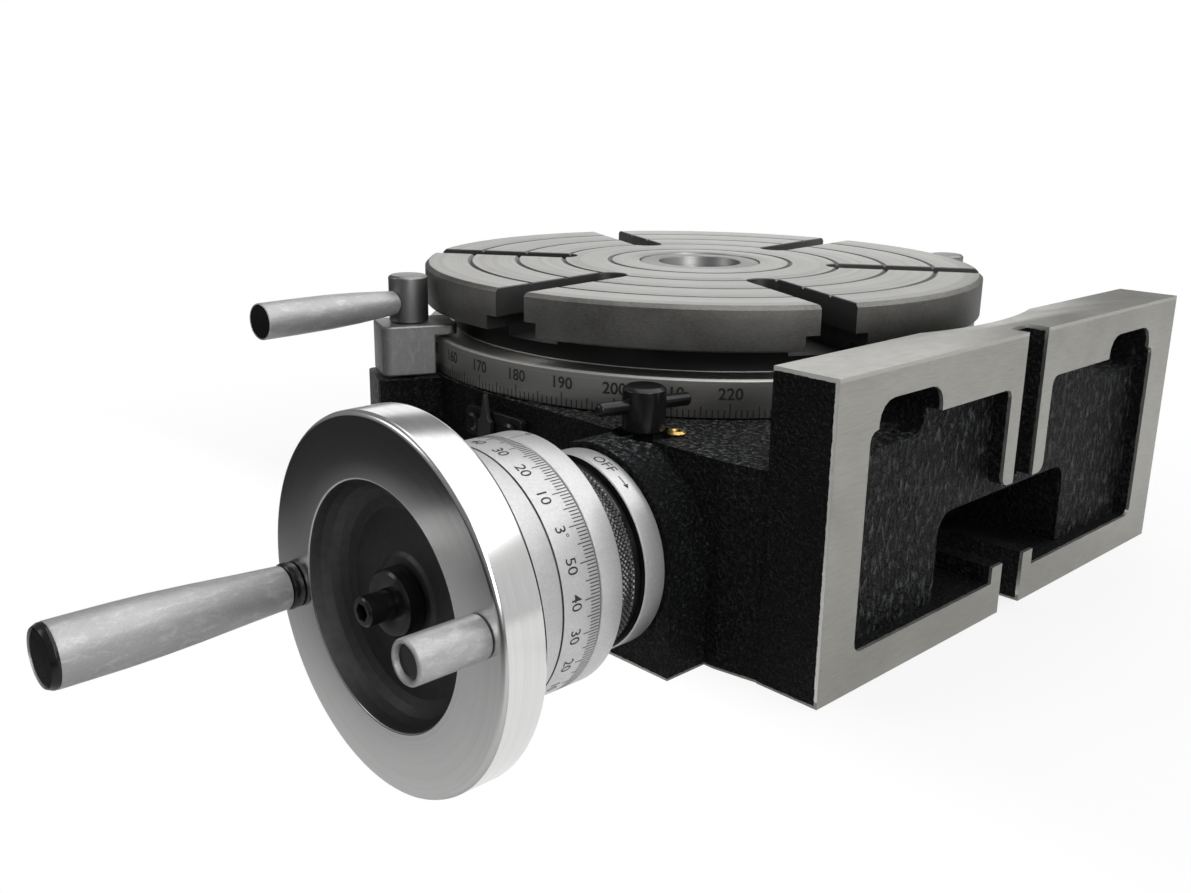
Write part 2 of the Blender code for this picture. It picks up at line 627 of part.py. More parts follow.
def base_casting(materials):
    """The casting: drum, worm housing, mounting wall, clamp lugs and foot."""
    base = plate("base_casting", base_outline(), 0.0, BASE_HEIGHT, PARTS, materials["black_paint"])
    join(base, plate("wall_body", wall_outline(), 0.0, WALL_HEIGHT, CUTTERS))
    barrel = plate("barrel_body", barrel_outline(), BARREL_BACK, BARREL_FRONT, CUTTERS)
    join(base, place(barrel, (0.0, 0.0, 0.0), None, FORWARD))
    foot = rectangle(-FOOT_REACH, -BASE_HALF / 2, -FOOT_HALF, FOOT_HALF)
    foot = rounded(foot, [FOOT_HALF * 0.9, 0, 0, FOOT_HALF * 0.9], 6)
    join(base, plate("foot_body", foot, 0.0, FOOT_HEIGHT, CUTTERS))
    for number, angle in enumerate(CLAMP_ANGLES, 1):
        half = JAW_WIDTH / 2 + LUG_MARGIN
        lug = rectangle(BASE_HALF * 0.7, JAW_OUTER + LUG_MARGIN, -half, half)
        lug = rounded(lug, [0, JAW_CORNER, JAW_CORNER, 0], 3)
        body = plate(f"clamp_lug_{number}", lug, 0.0, LUG_TOP_Z, CUTTERS)
        join(base, place(body, (0.0, 0.0, 0.0), None, (0.0, 0.0, angle)))

    origin = (0.0, 0.0, 0.0)
    bearing = SPINDLE_RADIUS + GAP + BUSH_WALL + GAP
    top = BASE_HEIGHT + OVER
    cut(base, drill("wheel_chamber", CHAMBER_RADIUS, CHAMBER_FLOOR_Z, top, origin, segments=48))
    cut(base, drill("bush_bore", bearing, WEB_BOTTOM_Z - OVER, CHAMBER_FLOOR_Z + OVER, origin, segments=36))
    nut_cavity = NUT_RADIUS + 3 * OVER
    cut(base, drill("nut_cavity", nut_cavity, COVER_THICKNESS, WEB_BOTTOM_Z, origin, segments=36))
    cover_seat = COVER_THICKNESS + GAP
    cut(base, drill("cover_recess", COVER_RADIUS, -OVER, cover_seat, origin, segments=36))
    sleeve_axis = (SLEEVE_X, 0.0, AXIS_Z)
    bore = SLEEVE_RADIUS + GAP
    rear = SLEEVE_REAR - SLEEVE_BORE_RUN
    cut(base, drill("sleeve_bore", bore, rear, BARREL_FRONT + OVER, sleeve_axis, None, FORWARD, 32))
    cut(base, *wall_cutters())

    half = BOLT_SLOT_WIDTH / 2
    end_x = -FOOT_REACH + FOOT_SLOT_DEPTH - half
    slot = arc((end_x, 0.0), half, -math.pi / 2, math.pi / 2, 8)
    slot += [(-FOOT_REACH - OVER, half), (-FOOT_REACH - OVER, -half)]
    cut(base, plate("foot_bolt_slot", slot, -OVER, FOOT_HEIGHT + OVER, CUTTERS))

    lock_place = (SLEEVE_X, -LOCK_FORWARD, 0.0)
    above = max(BASE_HEIGHT, AXIS_Z + BARREL_RADIUS) + 2 * OVER
    cut(base, drill("lock_seat", LOCK_SEAT_RADIUS, LOCK_SEAT_Z, above, lock_place))
    cut(base, drill("lock_hole", LOCK_STEM_RADIUS + GAP, AXIS_Z, LOCK_SEAT_Z + OVER, lock_place, segments=12))
    oiler_place = (OILER_X, -OILER_FORWARD, 0.0)
    low = OILER_TIP_Z - GAP
    cut(base, drill("oiler_hole", OILER_STEM_RADIUS + GAP, low, top, oiler_place, segments=12))
    for number, angle in enumerate(CLAMP_ANGLES, 1):
        stud = (*polar(CLAMP_RADIUS, angle), 0.0)
        low = LUG_TOP_Z - STUD_DEPTH - GAP
        cut(base, drill(f"stud_hole_{number}", STUD_RADIUS + GAP, low, top, stud, segments=16))
        half = JAW_WIDTH / 2 + LUG_MARGIN
        seat = rectangle(JAW_INNER - 2 * GAP, JAW_OUTER + 2 * LUG_MARGIN, -half, half)
        seat = plate(f"jaw_seat_{number}", seat, LUG_TOP_Z, top, CUTTERS)
        cut(base, place(seat, (0.0, 0.0, 0.0), None, (0.0, 0.0, angle)))
    for number, x in enumerate(INDEX_SCREWS_X, 1):
        z = (INDEX_BOTTOM_Z + INDEX_TOP_Z) / 2
        hole = (x, 0.0, z)
        depth = BASE_HALF - 7 * MM
        cut(base, drill(f"index_hole_{number}", INDEX_SCREW_RADIUS + GAP, depth, BASE_HALF + OVER,
                        hole, None, FORWARD, 10))
    smooth_by_angle(base)


def spindle_seat(materials):
    """The bush in the base's web and the cover that closes the base below the spindle nut."""
    inner = SPINDLE_RADIUS + GAP
    profile = ring(inner, inner + BUSH_WALL, WEB_BOTTOM_Z + GAP, CHAMBER_FLOOR_Z - GAP)
    smooth_by_angle(turned("spindle_bush", profile, 24, PARTS, materials["bronze"]))
    cover = rod(COVER_RADIUS - GAP, 0.0, COVER_THICKNESS)
    smooth_by_angle(turned("base_cover", cover, 32, PARTS, materials["ground_iron"]))


def index(materials):
    """The pointer at the table's scale, on its plate, with the two screws."""
    z = (INDEX_BOTTOM_Z + INDEX_TOP_Z) / 2
    back = BASE_HALF + GAP
    front = back + INDEX_THICKNESS
    outline = rectangle(INDEX_LEFT, INDEX_RIGHT, INDEX_BOTTOM_Z, INDEX_TOP_Z)
    index_plate = plate("index_plate", rounded(outline, [1.5 * MM] * 4, 3), back, front,
                        PARTS, materials["tool_steel"])
    place(index_plate, (0.0, 0.0, 0.0), None, FORWARD)
    for number, x in enumerate(INDEX_SCREWS_X, 1):
        hole = drill(f"index_plate_hole_{number}", INDEX_SCREW_RADIUS + GAP, back - OVER, front + OVER,
                     (x, 0.0, z), None, FORWARD, 10)
        cut(index_plate, hole)
        head = 2 * INDEX_SCREW_RADIUS
        low = BASE_HALF - 6 * MM
        seat = front + GAP
        top = seat + 1.4 * MM
        profile = [(0.0, top), (head * 0.7, top), (head, top - 0.5 * MM), (head, seat),
                   (INDEX_SCREW_RADIUS, seat), (INDEX_SCREW_RADIUS, low), (0.0, low)]
        screw = turned(f"index_screw_{number}", profile, 12, PARTS, materials["black_oxide"])
        smooth_by_angle(place(screw, (x, 0.0, z), None, FORWARD))
    smooth_by_angle(index_plate)

    half = 3.2 * MM
    shoulder = INDEX_TOP_Z - 2 * MM
    tip = FLANGE_BOTTOM_Z + 0.8 * MM
    blade = 1.8 * MM
    point = 0.25 * MM
    outline = [
        (POINTER_X - half, INDEX_BOTTOM_Z + OVER),
        (POINTER_X + half, INDEX_BOTTOM_Z + OVER),
        (POINTER_X + half, shoulder - OVER),
        (POINTER_X + blade, shoulder),
        (POINTER_X + point, tip),
        (POINTER_X - point, tip),
        (POINTER_X - blade, shoulder),
        (POINTER_X - half, shoulder - OVER),
    ]
    low = front + GAP
    pointer = plate("index_pointer", outline, low, low + POINTER_THICKNESS, PARTS, materials["tool_steel"])
    place(pointer, (0.0, 0.0, 0.0), None, FORWARD)


def oiler(materials):
    """The ball oiler on top of the base."""
    seat = BASE_HEIGHT + GAP
    low = OILER_TIP_Z
    rim = 1.0 * MM
    profile = [
        (0.0, seat + 0.4 * MM),
        (OILER_RADIUS * 0.35, seat + 0.5 * MM),
        (OILER_RADIUS * 0.5, seat + rim),
        (OILER_RADIUS * 0.85, seat + rim),
        (OILER_RADIUS, seat + 0.4 * MM),
        (OILER_RADIUS, seat),
        (OILER_STEM_RADIUS, seat),
        (OILER_STEM_RADIUS, low),
        (0.0, low),
    ]
    body = turned("oiler", profile, 16, PARTS, materials["brass"])
    smooth_by_angle(place(body, (OILER_X, -OILER_FORWARD, 0.0)))


# Table group


def table_top(materials, axis):
    """The slotted disc, its neck and the graduated flange."""
    profile = [(SOCKET_OUTER_RADIUS + GAP, TABLE_TOP_Z)]
    for radius in RING_GROOVES:
        profile += [
            (radius - RING_GROOVE_HALF, TABLE_TOP_Z),
            (radius, TABLE_TOP_Z - RING_GROOVE_DEPTH),
            (radius + RING_GROOVE_HALF, TABLE_TOP_Z),
        ]
    profile += [
        (TABLE_RADIUS - DISC_CHAMFER, TABLE_TOP_Z),
        (TABLE_RADIUS, TABLE_TOP_Z - DISC_CHAMFER),
        (TABLE_RADIUS, DISC_BOTTOM_Z),
        (NECK_RADIUS, DISC_BOTTOM_Z),
        (NECK_RADIUS, FLANGE_TOP_Z),
        (FLANGE_RADIUS - FLANGE_CHAMFER, FLANGE_TOP_Z),
        (FLANGE_RADIUS, FLANGE_TOP_Z - FLANGE_CHAMFER),
        (FLANGE_RADIUS, FLANGE_BOTTOM_Z),
        (SOCKET_OUTER_RADIUS + GAP, FLANGE_BOTTOM_Z),
    ]
    table = turned("table_top", profile, 60, PARTS, materials["ground_iron"])
    place(table, (0.0, 0.0, 0.0), axis)
    head_top = TABLE_TOP_Z - SLOT_NECK_HEIGHT
    head_bottom = head_top - SLOT_HEAD_HEIGHT
    outer = TABLE_RADIUS + 5 * OVER
    for number in range(SLOT_COUNT):
        angle = SLOT_ANGLE + FULL_TURN * number / SLOT_COUNT
        levels = (
            ("slot_neck", SLOT_WIDTH / 2, head_top - OVER, TABLE_TOP_Z + OVER),
            ("slot_head", SLOT_HEAD_WIDTH / 2, head_bottom, head_top),
        )
        for name, half, low, high in levels:
            centre = SLOT_INNER_RADIUS + SLOT_WIDTH / 2
            outline = arc((centre, 0.0), half, math.pi / 2, 3 * math.pi / 2, 8)
            outline += [(outer, -half), (outer, half)]
            tool = plate(f"{name}_{number + 1}", outline, low, high, CUTTERS)
            cut(table, place(tool, (0.0, 0.0, 0.0), axis, (0.0, 0.0, angle)))
    smooth_by_angle(table)


def taper_socket(materials, axis):
    """The hardened socket in the middle of the table, with its taper bore."""
    top = TABLE_TOP_Z - GAP
    step = top - 6 * MM
    profile = [
        (SOCKET_MOUTH_RADIUS, top),
        (SOCKET_OUTER_RADIUS - DISC_CHAMFER / 2, top),
        (SOCKET_OUTER_RADIUS, top - DISC_CHAMFER / 2),
        (SOCKET_OUTER_RADIUS, SOCKET_BOTTOM_Z),
        (SOCKET_TAPER_BOTTOM_RADIUS, SOCKET_BOTTOM_Z),
        (SOCKET_TAPER_TOP_RADIUS, step - OVER),
        (SOCKET_MOUTH_RADIUS - OVER, step),
    ]
    socket = turned("taper_socket", profile, 28, PARTS, materials["tool_steel"])
    smooth_by_angle(place(socket, (0.0, 0.0, 0.0), axis))


def wheel_bolt_places():
    step = FULL_TURN / WHEEL_BOLTS
    return [polar(WHEEL_BOLT_CIRCLE, step * (i + 0.5)) for i in range(WHEEL_BOLTS)]


def spindle(materials, axis):
    """The table's journal, which the worm wheel is bolted to."""
    top = FLANGE_BOTTOM_Z - GAP
    bottom = SOCKET_BOTTOM_Z - GAP
    profile = [
        (SOCKET_OUTER_RADIUS + GAP, top),
        (SPINDLE_FLANGE_RADIUS, top),
        (SPINDLE_FLANGE_RADIUS, SPINDLE_FLANGE_Z),
        (SPINDLE_RADIUS, SPINDLE_FLANGE_Z),
        (SPINDLE_RADIUS, SPINDLE_BOTTOM_Z),
        (THROUGH_RADIUS, SPINDLE_BOTTOM_Z),
        (THROUGH_RADIUS, bottom),
        (SOCKET_OUTER_RADIUS + GAP, bottom),
    ]
    body = turned("spindle", profile, 28, PARTS, materials["tool_steel"])
    place(body, (0.0, 0.0, 0.0), axis)
    for number, (x, y) in enumerate(wheel_bolt_places(), 1):
        high = SPINDLE_FLANGE_Z + WHEEL_BOLT_GRIP + GAP
        cut(body, drill(f"spindle_hole_{number}", WHEEL_BOLT_RADIUS + GAP, SPINDLE_FLANGE_Z - OVER, high,
                        (x, y, 0.0), axis, segments=10))
    smooth_by_angle(body)

    washer_top = WEB_BOTTOM_Z - GAP
    washer_bottom = washer_top - THRUST_WASHER_THICKNESS
    washer = turned("thrust_washer", ring(SPINDLE_RADIUS + GAP, NUT_RADIUS, washer_bottom, washer_top),
                    24, PARTS, materials["bronze"])
    smooth_by_angle(place(washer, (0.0, 0.0, 0.0), axis))
    nut_top = washer_bottom - GAP
    nut = turned("spindle_nut", ring(SPINDLE_RADIUS + GAP, NUT_RADIUS, nut_top - NUT_HEIGHT, nut_top),
                 24, PARTS, materials["tool_steel"])
    smooth_by_angle(place(nut, (0.0, 0.0, 0.0), axis))


def tooth_half_widths():
    """Half widths of a tooth at its root and tip, measured along the worm."""
    pitch_half = LEAD / 4 - FLANK_CLEARANCE / 2
    slope = math.tan(FLANK_ANGLE)
    return pitch_half + DEDENDUM * slope, pitch_half - ADDENDUM * slope


def worm_wheel(materials, axis):
    """The bronze wheel: straight-flanked teeth leaning with the worm's lead."""
    root_half, tip_half = tooth_half_widths()
    root = WHEEL_PITCH_RADIUS - DEDENDUM
    tip = WHEEL_PITCH_RADIUS + ADDENDUM
    lean = LEAD / (FULL_TURN * WORM_PITCH_RADIUS) / WHEEL_PITCH_RADIUS
    shape = bmesh.new()
    loops = []
    for height in (WHEEL_BOTTOM_Z, WHEEL_TOP_Z):
        turn = lean * (height - AXIS_Z)
        loop = []
        for tooth in range(WHEEL_TEETH):
            middle = turn + FULL_TURN * (tooth + 0.5) / WHEEL_TEETH
            corners = ((root, -root_half), (tip, -tip_half), (tip, tip_half), (root, root_half))
            for radius, along in corners:
                x, y = polar(radius, middle + along / WHEEL_PITCH_RADIUS)
                loop.append(shape.verts.new((x, y, height)))
        loops.append(loop)
    bottom, top = loops
    count = len(bottom)
    for i in range(count):
        j = (i + 1) % count
        shape.faces.new((bottom[i], bottom[j], top[j], top[i]))
    shape.faces.new(list(reversed(bottom)))
    shape.faces.new(top)
    mesh = bpy.data.meshes.new("worm_wheel")
    shape.to_mesh(mesh)
    shape.free()
    wheel = bpy.data.objects.new("worm_wheel", mesh)
    bpy.context.scene.collection.objects.link(wheel)
    finish_object(wheel, PARTS, materials["bronze"])
    place(wheel, (0.0, 0.0, 0.0), axis)
    low = WHEEL_BOTTOM_Z - OVER
    high = WHEEL_TOP_Z + OVER
    cut(wheel, drill("wheel_bore", SPINDLE_RADIUS + GAP, low, high, (0.0, 0.0, 0.0), axis, segments=36))
    head_top = WHEEL_BOTTOM_Z + WHEEL_BOLT_HEAD_HEIGHT + GAP
    for number, (x, y) in enumerate(wheel_bolt_places(), 1):
        spot = (x, y, 0.0)
        cut(wheel, drill(f"bolt_hole_{number}", WHEEL_BOLT_RADIUS + GAP, low, high, spot, axis, segments=10))
        cut(wheel, drill(f"bolt_seat_{number}", WHEEL_BOLT_HEAD_RADIUS + GAP, low, head_top, spot, axis,
                         segments=12))
        bolt_bottom = WHEEL_BOTTOM_Z
        seat = head_top - GAP
        bolt_top = SPINDLE_FLANGE_Z + WHEEL_BOLT_GRIP
        profile = [
            (0.0, bolt_top),
            (WHEEL_BOLT_RADIUS, bolt_top),
            (WHEEL_BOLT_RADIUS, seat),
            (WHEEL_BOLT_HEAD_RADIUS, seat),
            (WHEEL_BOLT_HEAD_RADIUS, bolt_bottom),
            (0.0, bolt_bottom),
        ]
        bolt = turned(f"wheel_bolt_{number}", profile, 12, PARTS, materials["black_oxide"])
        smooth_by_angle(place(bolt, spot, axis))
    smooth_by_angle(wheel)


# Eccentric sleeve group


def eccentric_sleeve(materials, axis):
    """The sleeve that carries the worm off its own centre, open beside the worm."""
    front = ZERO_RING_FRONT - GAP
    sleeve = turned("eccentric_sleeve", rod(SLEEVE_RADIUS, SLEEVE_REAR, front, 0.8 * MM),
                    32, PARTS, materials["tool_steel"])
    place(sleeve, (SLEEVE_X, 0.0, AXIS_Z), axis, FORWARD)
    worm_place = (CENTRE_DISTANCE, 0.0, AXIS_Z)
    cut(sleeve, drill("worm_bore", WORM_JOURNAL_RADIUS + GAP, SLEEVE_REAR - OVER, front + OVER,
                      worm_place, axis, FORWARD, 24))
    reach = SLEEVE_RADIUS + 4 * OVER
    wedge = [(0.0, 0.0)] + arc((0.0, 0.0), reach, WINDOW_START, WINDOW_END, 10)
    window = plate("worm_window", wedge, -WINDOW_HALF, WINDOW_HALF, CUTTERS)
    cut(sleeve, place(window, (SLEEVE_X, 0.0, AXIS_Z), axis, FORWARD))
    smooth_by_angle(sleeve)

    inner = SLEEVE_RADIUS + GAP
    edge = TURNING_RING_BACK + TURNING_RING_NECK_WIDTH
    profile = [
        (inner, TURNING_RING_FRONT),
        (TURNING_RING_RADIUS - DIAL_CHAMFER, TURNING_RING_FRONT),
        (TURNING_RING_RADIUS, TURNING_RING_FRONT - DIAL_CHAMFER),
        (TURNING_RING_RADIUS, edge),
        (TURNING_RING_NECK, edge - DIAL_CHAMFER),
        (TURNING_RING_NECK, TURNING_RING_BACK),
        (inner, TURNING_RING_BACK),
    ]
    grip = turned("turning_ring", profile, 32, PARTS, materials["black_oxide"])
    smooth_by_angle(place(grip, (SLEEVE_X, 0.0, AXIS_Z), axis, FORWARD))

    disc = rod(DIAL_RADIUS, ZERO_RING_BACK, ZERO_RING_FRONT, DIAL_CHAMFER)
    zero = turned("zero_ring", disc, 40, PARTS, materials["satin_chrome"])
    place(zero, worm_place, axis, FORWARD)
    cut(zero, drill("zero_ring_bore", inner, ZERO_RING_BACK - OVER, ZERO_RING_FRONT + OVER,
                    (SLEEVE_X, 0.0, AXIS_Z), axis, FORWARD, 36))
    smooth_by_angle(zero)


def off_ring(materials):
    """The fixed ring on the housing, which the sleeve turns in."""
    profile = ring(SLEEVE_RADIUS + GAP, OFF_RING_RADIUS, OFF_RING_BACK, OFF_RING_FRONT, 0.5 * MM)
    body = turned("off_ring", profile, 32, PARTS, materials["satin_chrome"])
    smooth_by_angle(place(body, (SLEEVE_X, 0.0, AXIS_Z), None, FORWARD))


# Worm shaft group


def worm_thread(axis):
    """One right-hand thread, swept from a tooth section round the worm axis."""
    root_half, tip_half = tooth_half_widths()
    slope = math.tan(FLANK_ANGLE)
    sink = 0.3 * MM
    root = WORM_PITCH_RADIUS - DEDENDUM - sink
    tip = WORM_PITCH_RADIUS + ADDENDUM
    start = -LEAD * WORM_TURNS / 2
    section = (
        (root, -root_half - sink * slope),
        (root, root_half + sink * slope),
        (tip, tip_half),
        (tip, -tip_half),
    )
    shape = bmesh.new()
    rings = []
    for step in range(WORM_TURNS * WORM_STEPS + 1):
        turn = FULL_TURN * (step + 0.5) / WORM_STEPS
        advance = start + LEAD * (step + 0.5) / WORM_STEPS
        across, up = -math.cos(turn), math.sin(turn)
        rings.append([shape.verts.new((r * across, r * up, -(advance + along))) for r, along in section])
    for first, second in zip(rings, rings[1:]):
        for i in range(len(section)):
            j = (i + 1) % len(section)
            shape.faces.new((first[i], first[j], second[j], second[i]))
    shape.faces.new(rings[0])
    shape.faces.new(list(reversed(rings[-1])))
    bmesh.ops.recalc_face_normals(shape, faces=shape.faces)
    mesh = bpy.data.meshes.new("worm_thread")
    shape.to_mesh(mesh)
    shape.free()
    thread = bpy.data.objects.new("worm_thread", mesh)
    bpy.context.scene.collection.objects.link(thread)
    finish_object(thread, CUTTERS)
    return place(thread, (CENTRE_DISTANCE, 0.0, AXIS_Z), axis, FORWARD)


def worm_shaft(materials, axis):
    """The shaft from the thrust nut at the back to the handwheel seat, with the worm on it."""
    spot = (CENTRE_DISTANCE, 0.0, AXIS_Z)
    front = DISH_FLOOR - GAP
    wheel_step = WHEEL_HUB_BACK - GAP
    dial_step = ZERO_RING_FRONT - OVER
    relief = WORM_RELIEF - OVER
    root = WORM_PITCH_RADIUS - DEDENDUM
    nut_step = SLEEVE_REAR - GAP
    tail_radius = WORM_TAIL_RADIUS
    tail = nut_step - WORM_TAIL
    profile = [
        (0.0, front),
        (WHEEL_SEAT_RADIUS, front),
        (WHEEL_SEAT_RADIUS, wheel_step),
        (DIAL_SEAT_RADIUS, wheel_step),
        (DIAL_SEAT_RADIUS, dial_step),
        (WORM_JOURNAL_RADIUS, dial_step),
        (WORM_JOURNAL_RADIUS, relief),
        (root, relief),
        (root, -relief),
        (WORM_JOURNAL_RADIUS, -relief),
        (WORM_JOURNAL_RADIUS, nut_step),
        (tail_radius, nut_step),
        (tail_radius, tail),
        (0.0, tail),
    ]
    shaft = turned("worm_shaft", profile, 16, PARTS, materials["tool_steel"])
    place(shaft, spot, axis, FORWARD)
    join(shaft, worm_thread(axis))
    deep = HANDWHEEL_FRONT - WHEEL_SCREW_DEPTH
    cut(shaft, drill("shaft_tap", WHEEL_SCREW_RADIUS + GAP, deep, front + OVER, spot, axis, FORWARD, 16))
    smooth_by_angle(shaft)

    collar_front = nut_step - GAP
    collar_back = collar_front - THRUST_COLLAR_WIDTH
    collar = ring(tail_radius + GAP, THRUST_COLLAR_RADIUS, collar_back, collar_front)
    washer = turned("thrust_collar", collar, 20, PARTS, materials["bronze"])
    smooth_by_angle(place(washer, spot, axis, FORWARD))
    nut_front = collar_back - GAP
    nut = ring(tail_radius + GAP, WORM_NUT_RADIUS, nut_front - WORM_NUT_WIDTH, nut_front)
    smooth_by_angle(place(turned("worm_nut", nut, 20, PARTS, materials["tool_steel"]), spot, axis, FORWARD))

    hub = ring(DIAL_SEAT_RADIUS + GAP, DIAL_HUB_RADIUS, DIAL_BACK, DIAL_FRONT)
    smooth_by_angle(place(turned("dial_hub", hub, 24, PARTS, materials["black_oxide"]), spot, axis, FORWARD))


def handle_place(angle):
    x, z = polar(HANDLE_CIRCLE, angle)
    return (CENTRE_DISTANCE + x, 0.0, AXIS_Z + z)


def handwheel(materials, axis):
    """The dished handwheel with its nut and socket screw."""
    spot = (CENTRE_DISTANCE, 0.0, AXIS_Z)
    back = HANDWHEEL_FRONT - HANDWHEEL_WIDTH
    bore = WHEEL_SEAT_RADIUS + GAP
    web_back = DISH_FLOOR - WEB_THICKNESS
    rim_inner = DISH_RADIUS + 1.5 * MM
    profile = [
        (bore, DISH_FLOOR + OVER),
        (WHEEL_HUB_RADIUS - OVER, DISH_FLOOR + OVER),
        (WHEEL_HUB_RADIUS, DISH_FLOOR),
        (DISH_RADIUS - DISH_SLOPE, DISH_FLOOR),
        (DISH_RADIUS, HANDWHEEL_FRONT),
        (HANDWHEEL_RADIUS - RIM_CHAMFER, HANDWHEEL_FRONT),
        (HANDWHEEL_RADIUS, HANDWHEEL_FRONT - RIM_CHAMFER),
        (HANDWHEEL_RADIUS, back + RIM_CHAMFER),
        (HANDWHEEL_RADIUS - RIM_CHAMFER, back),
        (rim_inner, back),
        (rim_inner - OVER, web_back),
        (WHEEL_HUB_RADIUS + OVER, web_back),
        (WHEEL_HUB_RADIUS, WHEEL_HUB_BACK),
        (bore, WHEEL_HUB_BACK),
    ]
    wheel = turned("handwheel", profile, 48, PARTS, materials["polished_steel"])
    place(wheel, spot, axis, FORWARD)
    pins = (("long", LONG_HANDLE_ANGLE, LONG_PIN_RADIUS), ("short", SHORT_HANDLE_ANGLE, SHORT_PIN_RADIUS))
    for name, angle, radius in pins:
        cut(wheel, drill(f"{name}_pin_hole", radius + GAP, back - OVER, HANDWHEEL_FRONT + OVER,
                         handle_place(angle), axis, FORWARD, 14))
    smooth_by_angle(wheel)

    nut_back = DISH_FLOOR + OVER + GAP
    nut_front = nut_back + WHEEL_NUT_HEIGHT
    nut = ring(WHEEL_SCREW_RADIUS + GAP, WHEEL_NUT_RADIUS, nut_back, nut_front, 0.6 * MM)
    smooth_by_angle(place(turned("wheel_nut", nut, 24, PARTS, materials["black_oxide"]), spot, axis, FORWARD))
    low = HANDWHEEL_FRONT - WHEEL_SCREW_DEPTH + GAP
    screw = turned("wheel_screw", rod(WHEEL_SCREW_RADIUS, low, WHEEL_SCREW_FRONT, 0.5 * MM), 20,
                   PARTS, materials["black_oxide"])
    place(screw, spot, axis, FORWARD)
    socket = turned("socket_hexagon", rod(2.4 * MM, WHEEL_SCREW_FRONT - 5 * MM, WHEEL_SCREW_FRONT + OVER),
                    6, CUTTERS)
    cut(screw, place(socket, spot, axis, FORWARD))
    smooth_by_angle(screw)


def long_handle(materials, worm_axis, axis):
    """The revolving handle: pin in the wheel, ferrule, tapered grip and black end plug."""
    spot = handle_place(LONG_HANDLE_ANGLE)
    collar_back = HANDWHEEL_FRONT + GAP
    collar_front = collar_back + LONG_COLLAR_WIDTH
    grip_back = collar_front + GAP
    grip_front = grip_back + LONG_GRIP_LENGTH
    bore = LONG_PIN_RADIUS + GAP
    head_radius = LONG_PIN_HEAD_RADIUS
    plug_radius = LONG_GRIP_RADIUS - PLUG_INSET
    pocket = grip_front - PLUG_DEPTH
    head_front = pocket - GAP
    head_back = head_front - LONG_PIN_HEAD
    seat = head_back - GAP
    grip = [
        (plug_radius + GAP, grip_front),
        (LONG_GRIP_RADIUS - 0.8 * MM, grip_front),
        (LONG_GRIP_RADIUS, grip_front - 0.8 * MM),
        (LONG_GRIP_RADIUS * 0.985, grip_back + LONG_GRIP_LENGTH * 0.62),
        (LONG_GRIP_RADIUS * 0.91, grip_back + LONG_GRIP_LENGTH * 0.42),
        (LONG_GRIP_RADIUS * 0.8, grip_back + LONG_GRIP_LENGTH * 0.2),
        (LONG_GRIP_ROOT_RADIUS, grip_back),
        (bore, grip_back),
        (bore, seat),
        (head_radius + GAP, seat),
        (head_radius + GAP, pocket),
        (plug_radius + GAP, pocket),
    ]
    body = turned("long_grip", grip, 20, PARTS, materials["cast_steel"])
    smooth_by_angle(place(body, spot, axis, FORWARD))
    plug = rod(plug_radius, pocket + GAP, grip_front - 0.6 * MM, 0.5 * MM)
    smooth_by_angle(place(turned("long_grip_plug", plug, 20, PARTS, materials["black_oxide"]),
                          spot, axis, FORWARD))
    collar = ring(bore, LONG_GRIP_ROOT_RADIUS + 0.4 * MM, collar_back, collar_front, 0.4 * MM)
    smooth_by_angle(place(turned("long_grip_collar", collar, 20, PARTS, materials["black_oxide"]),
                          spot, worm_axis, FORWARD))
    root = HANDWHEEL_FRONT - HANDWHEEL_WIDTH + OVER
    pin = [
        (0.0, head_front),
        (head_radius, head_front),
        (head_radius, head_back),
        (LONG_PIN_RADIUS, head_back),
        (LONG_PIN_RADIUS, root),
        (0.0, root),
    ]
    smooth_by_angle(place(turned("long_handle_pin", pin, 16, PARTS, materials["tool_steel"]),
                          spot, worm_axis, FORWARD))


def short_handle(materials, worm_axis, axis):
    """The short revolving handle opposite the long one."""
    spot = handle_place(SHORT_HANDLE_ANGLE)
    back = HANDWHEEL_FRONT + GAP
    front = back + SHORT_GRIP_LENGTH
    bore = SHORT_PIN_RADIUS + GAP
    head_radius = SHORT_PIN_HEAD_RADIUS
    head_front = front - SHORT_PIN_RECESS
    head_back = head_front - SHORT_PIN_HEAD
    seat = head_back - GAP
    grip = [
        (head_radius + GAP, front),
        (SHORT_GRIP_RADIUS - 0.5 * MM, front),
        (SHORT_GRIP_RADIUS, front - 0.5 * MM),
        (SHORT_GRIP_RADIUS, back),
        (bore, back),
        (bore, seat),
        (head_radius + GAP, seat),
    ]
    smooth_by_angle(place(turned("short_grip", grip, 18, PARTS, materials["cast_steel"]), spot, axis, FORWARD))
    root = HANDWHEEL_FRONT - HANDWHEEL_WIDTH + OVER
    pin = [
        (0.0, head_front),
        (head_radius, head_front),
        (head_radius, head_back),
        (SHORT_PIN_RADIUS, head_back),
        (SHORT_PIN_RADIUS, root),
        (0.0, root),
    ]
    smooth_by_angle(place(turned("short_handle_pin", pin, 16, PARTS, materials["tool_steel"]),
                          spot, worm_axis, FORWARD))


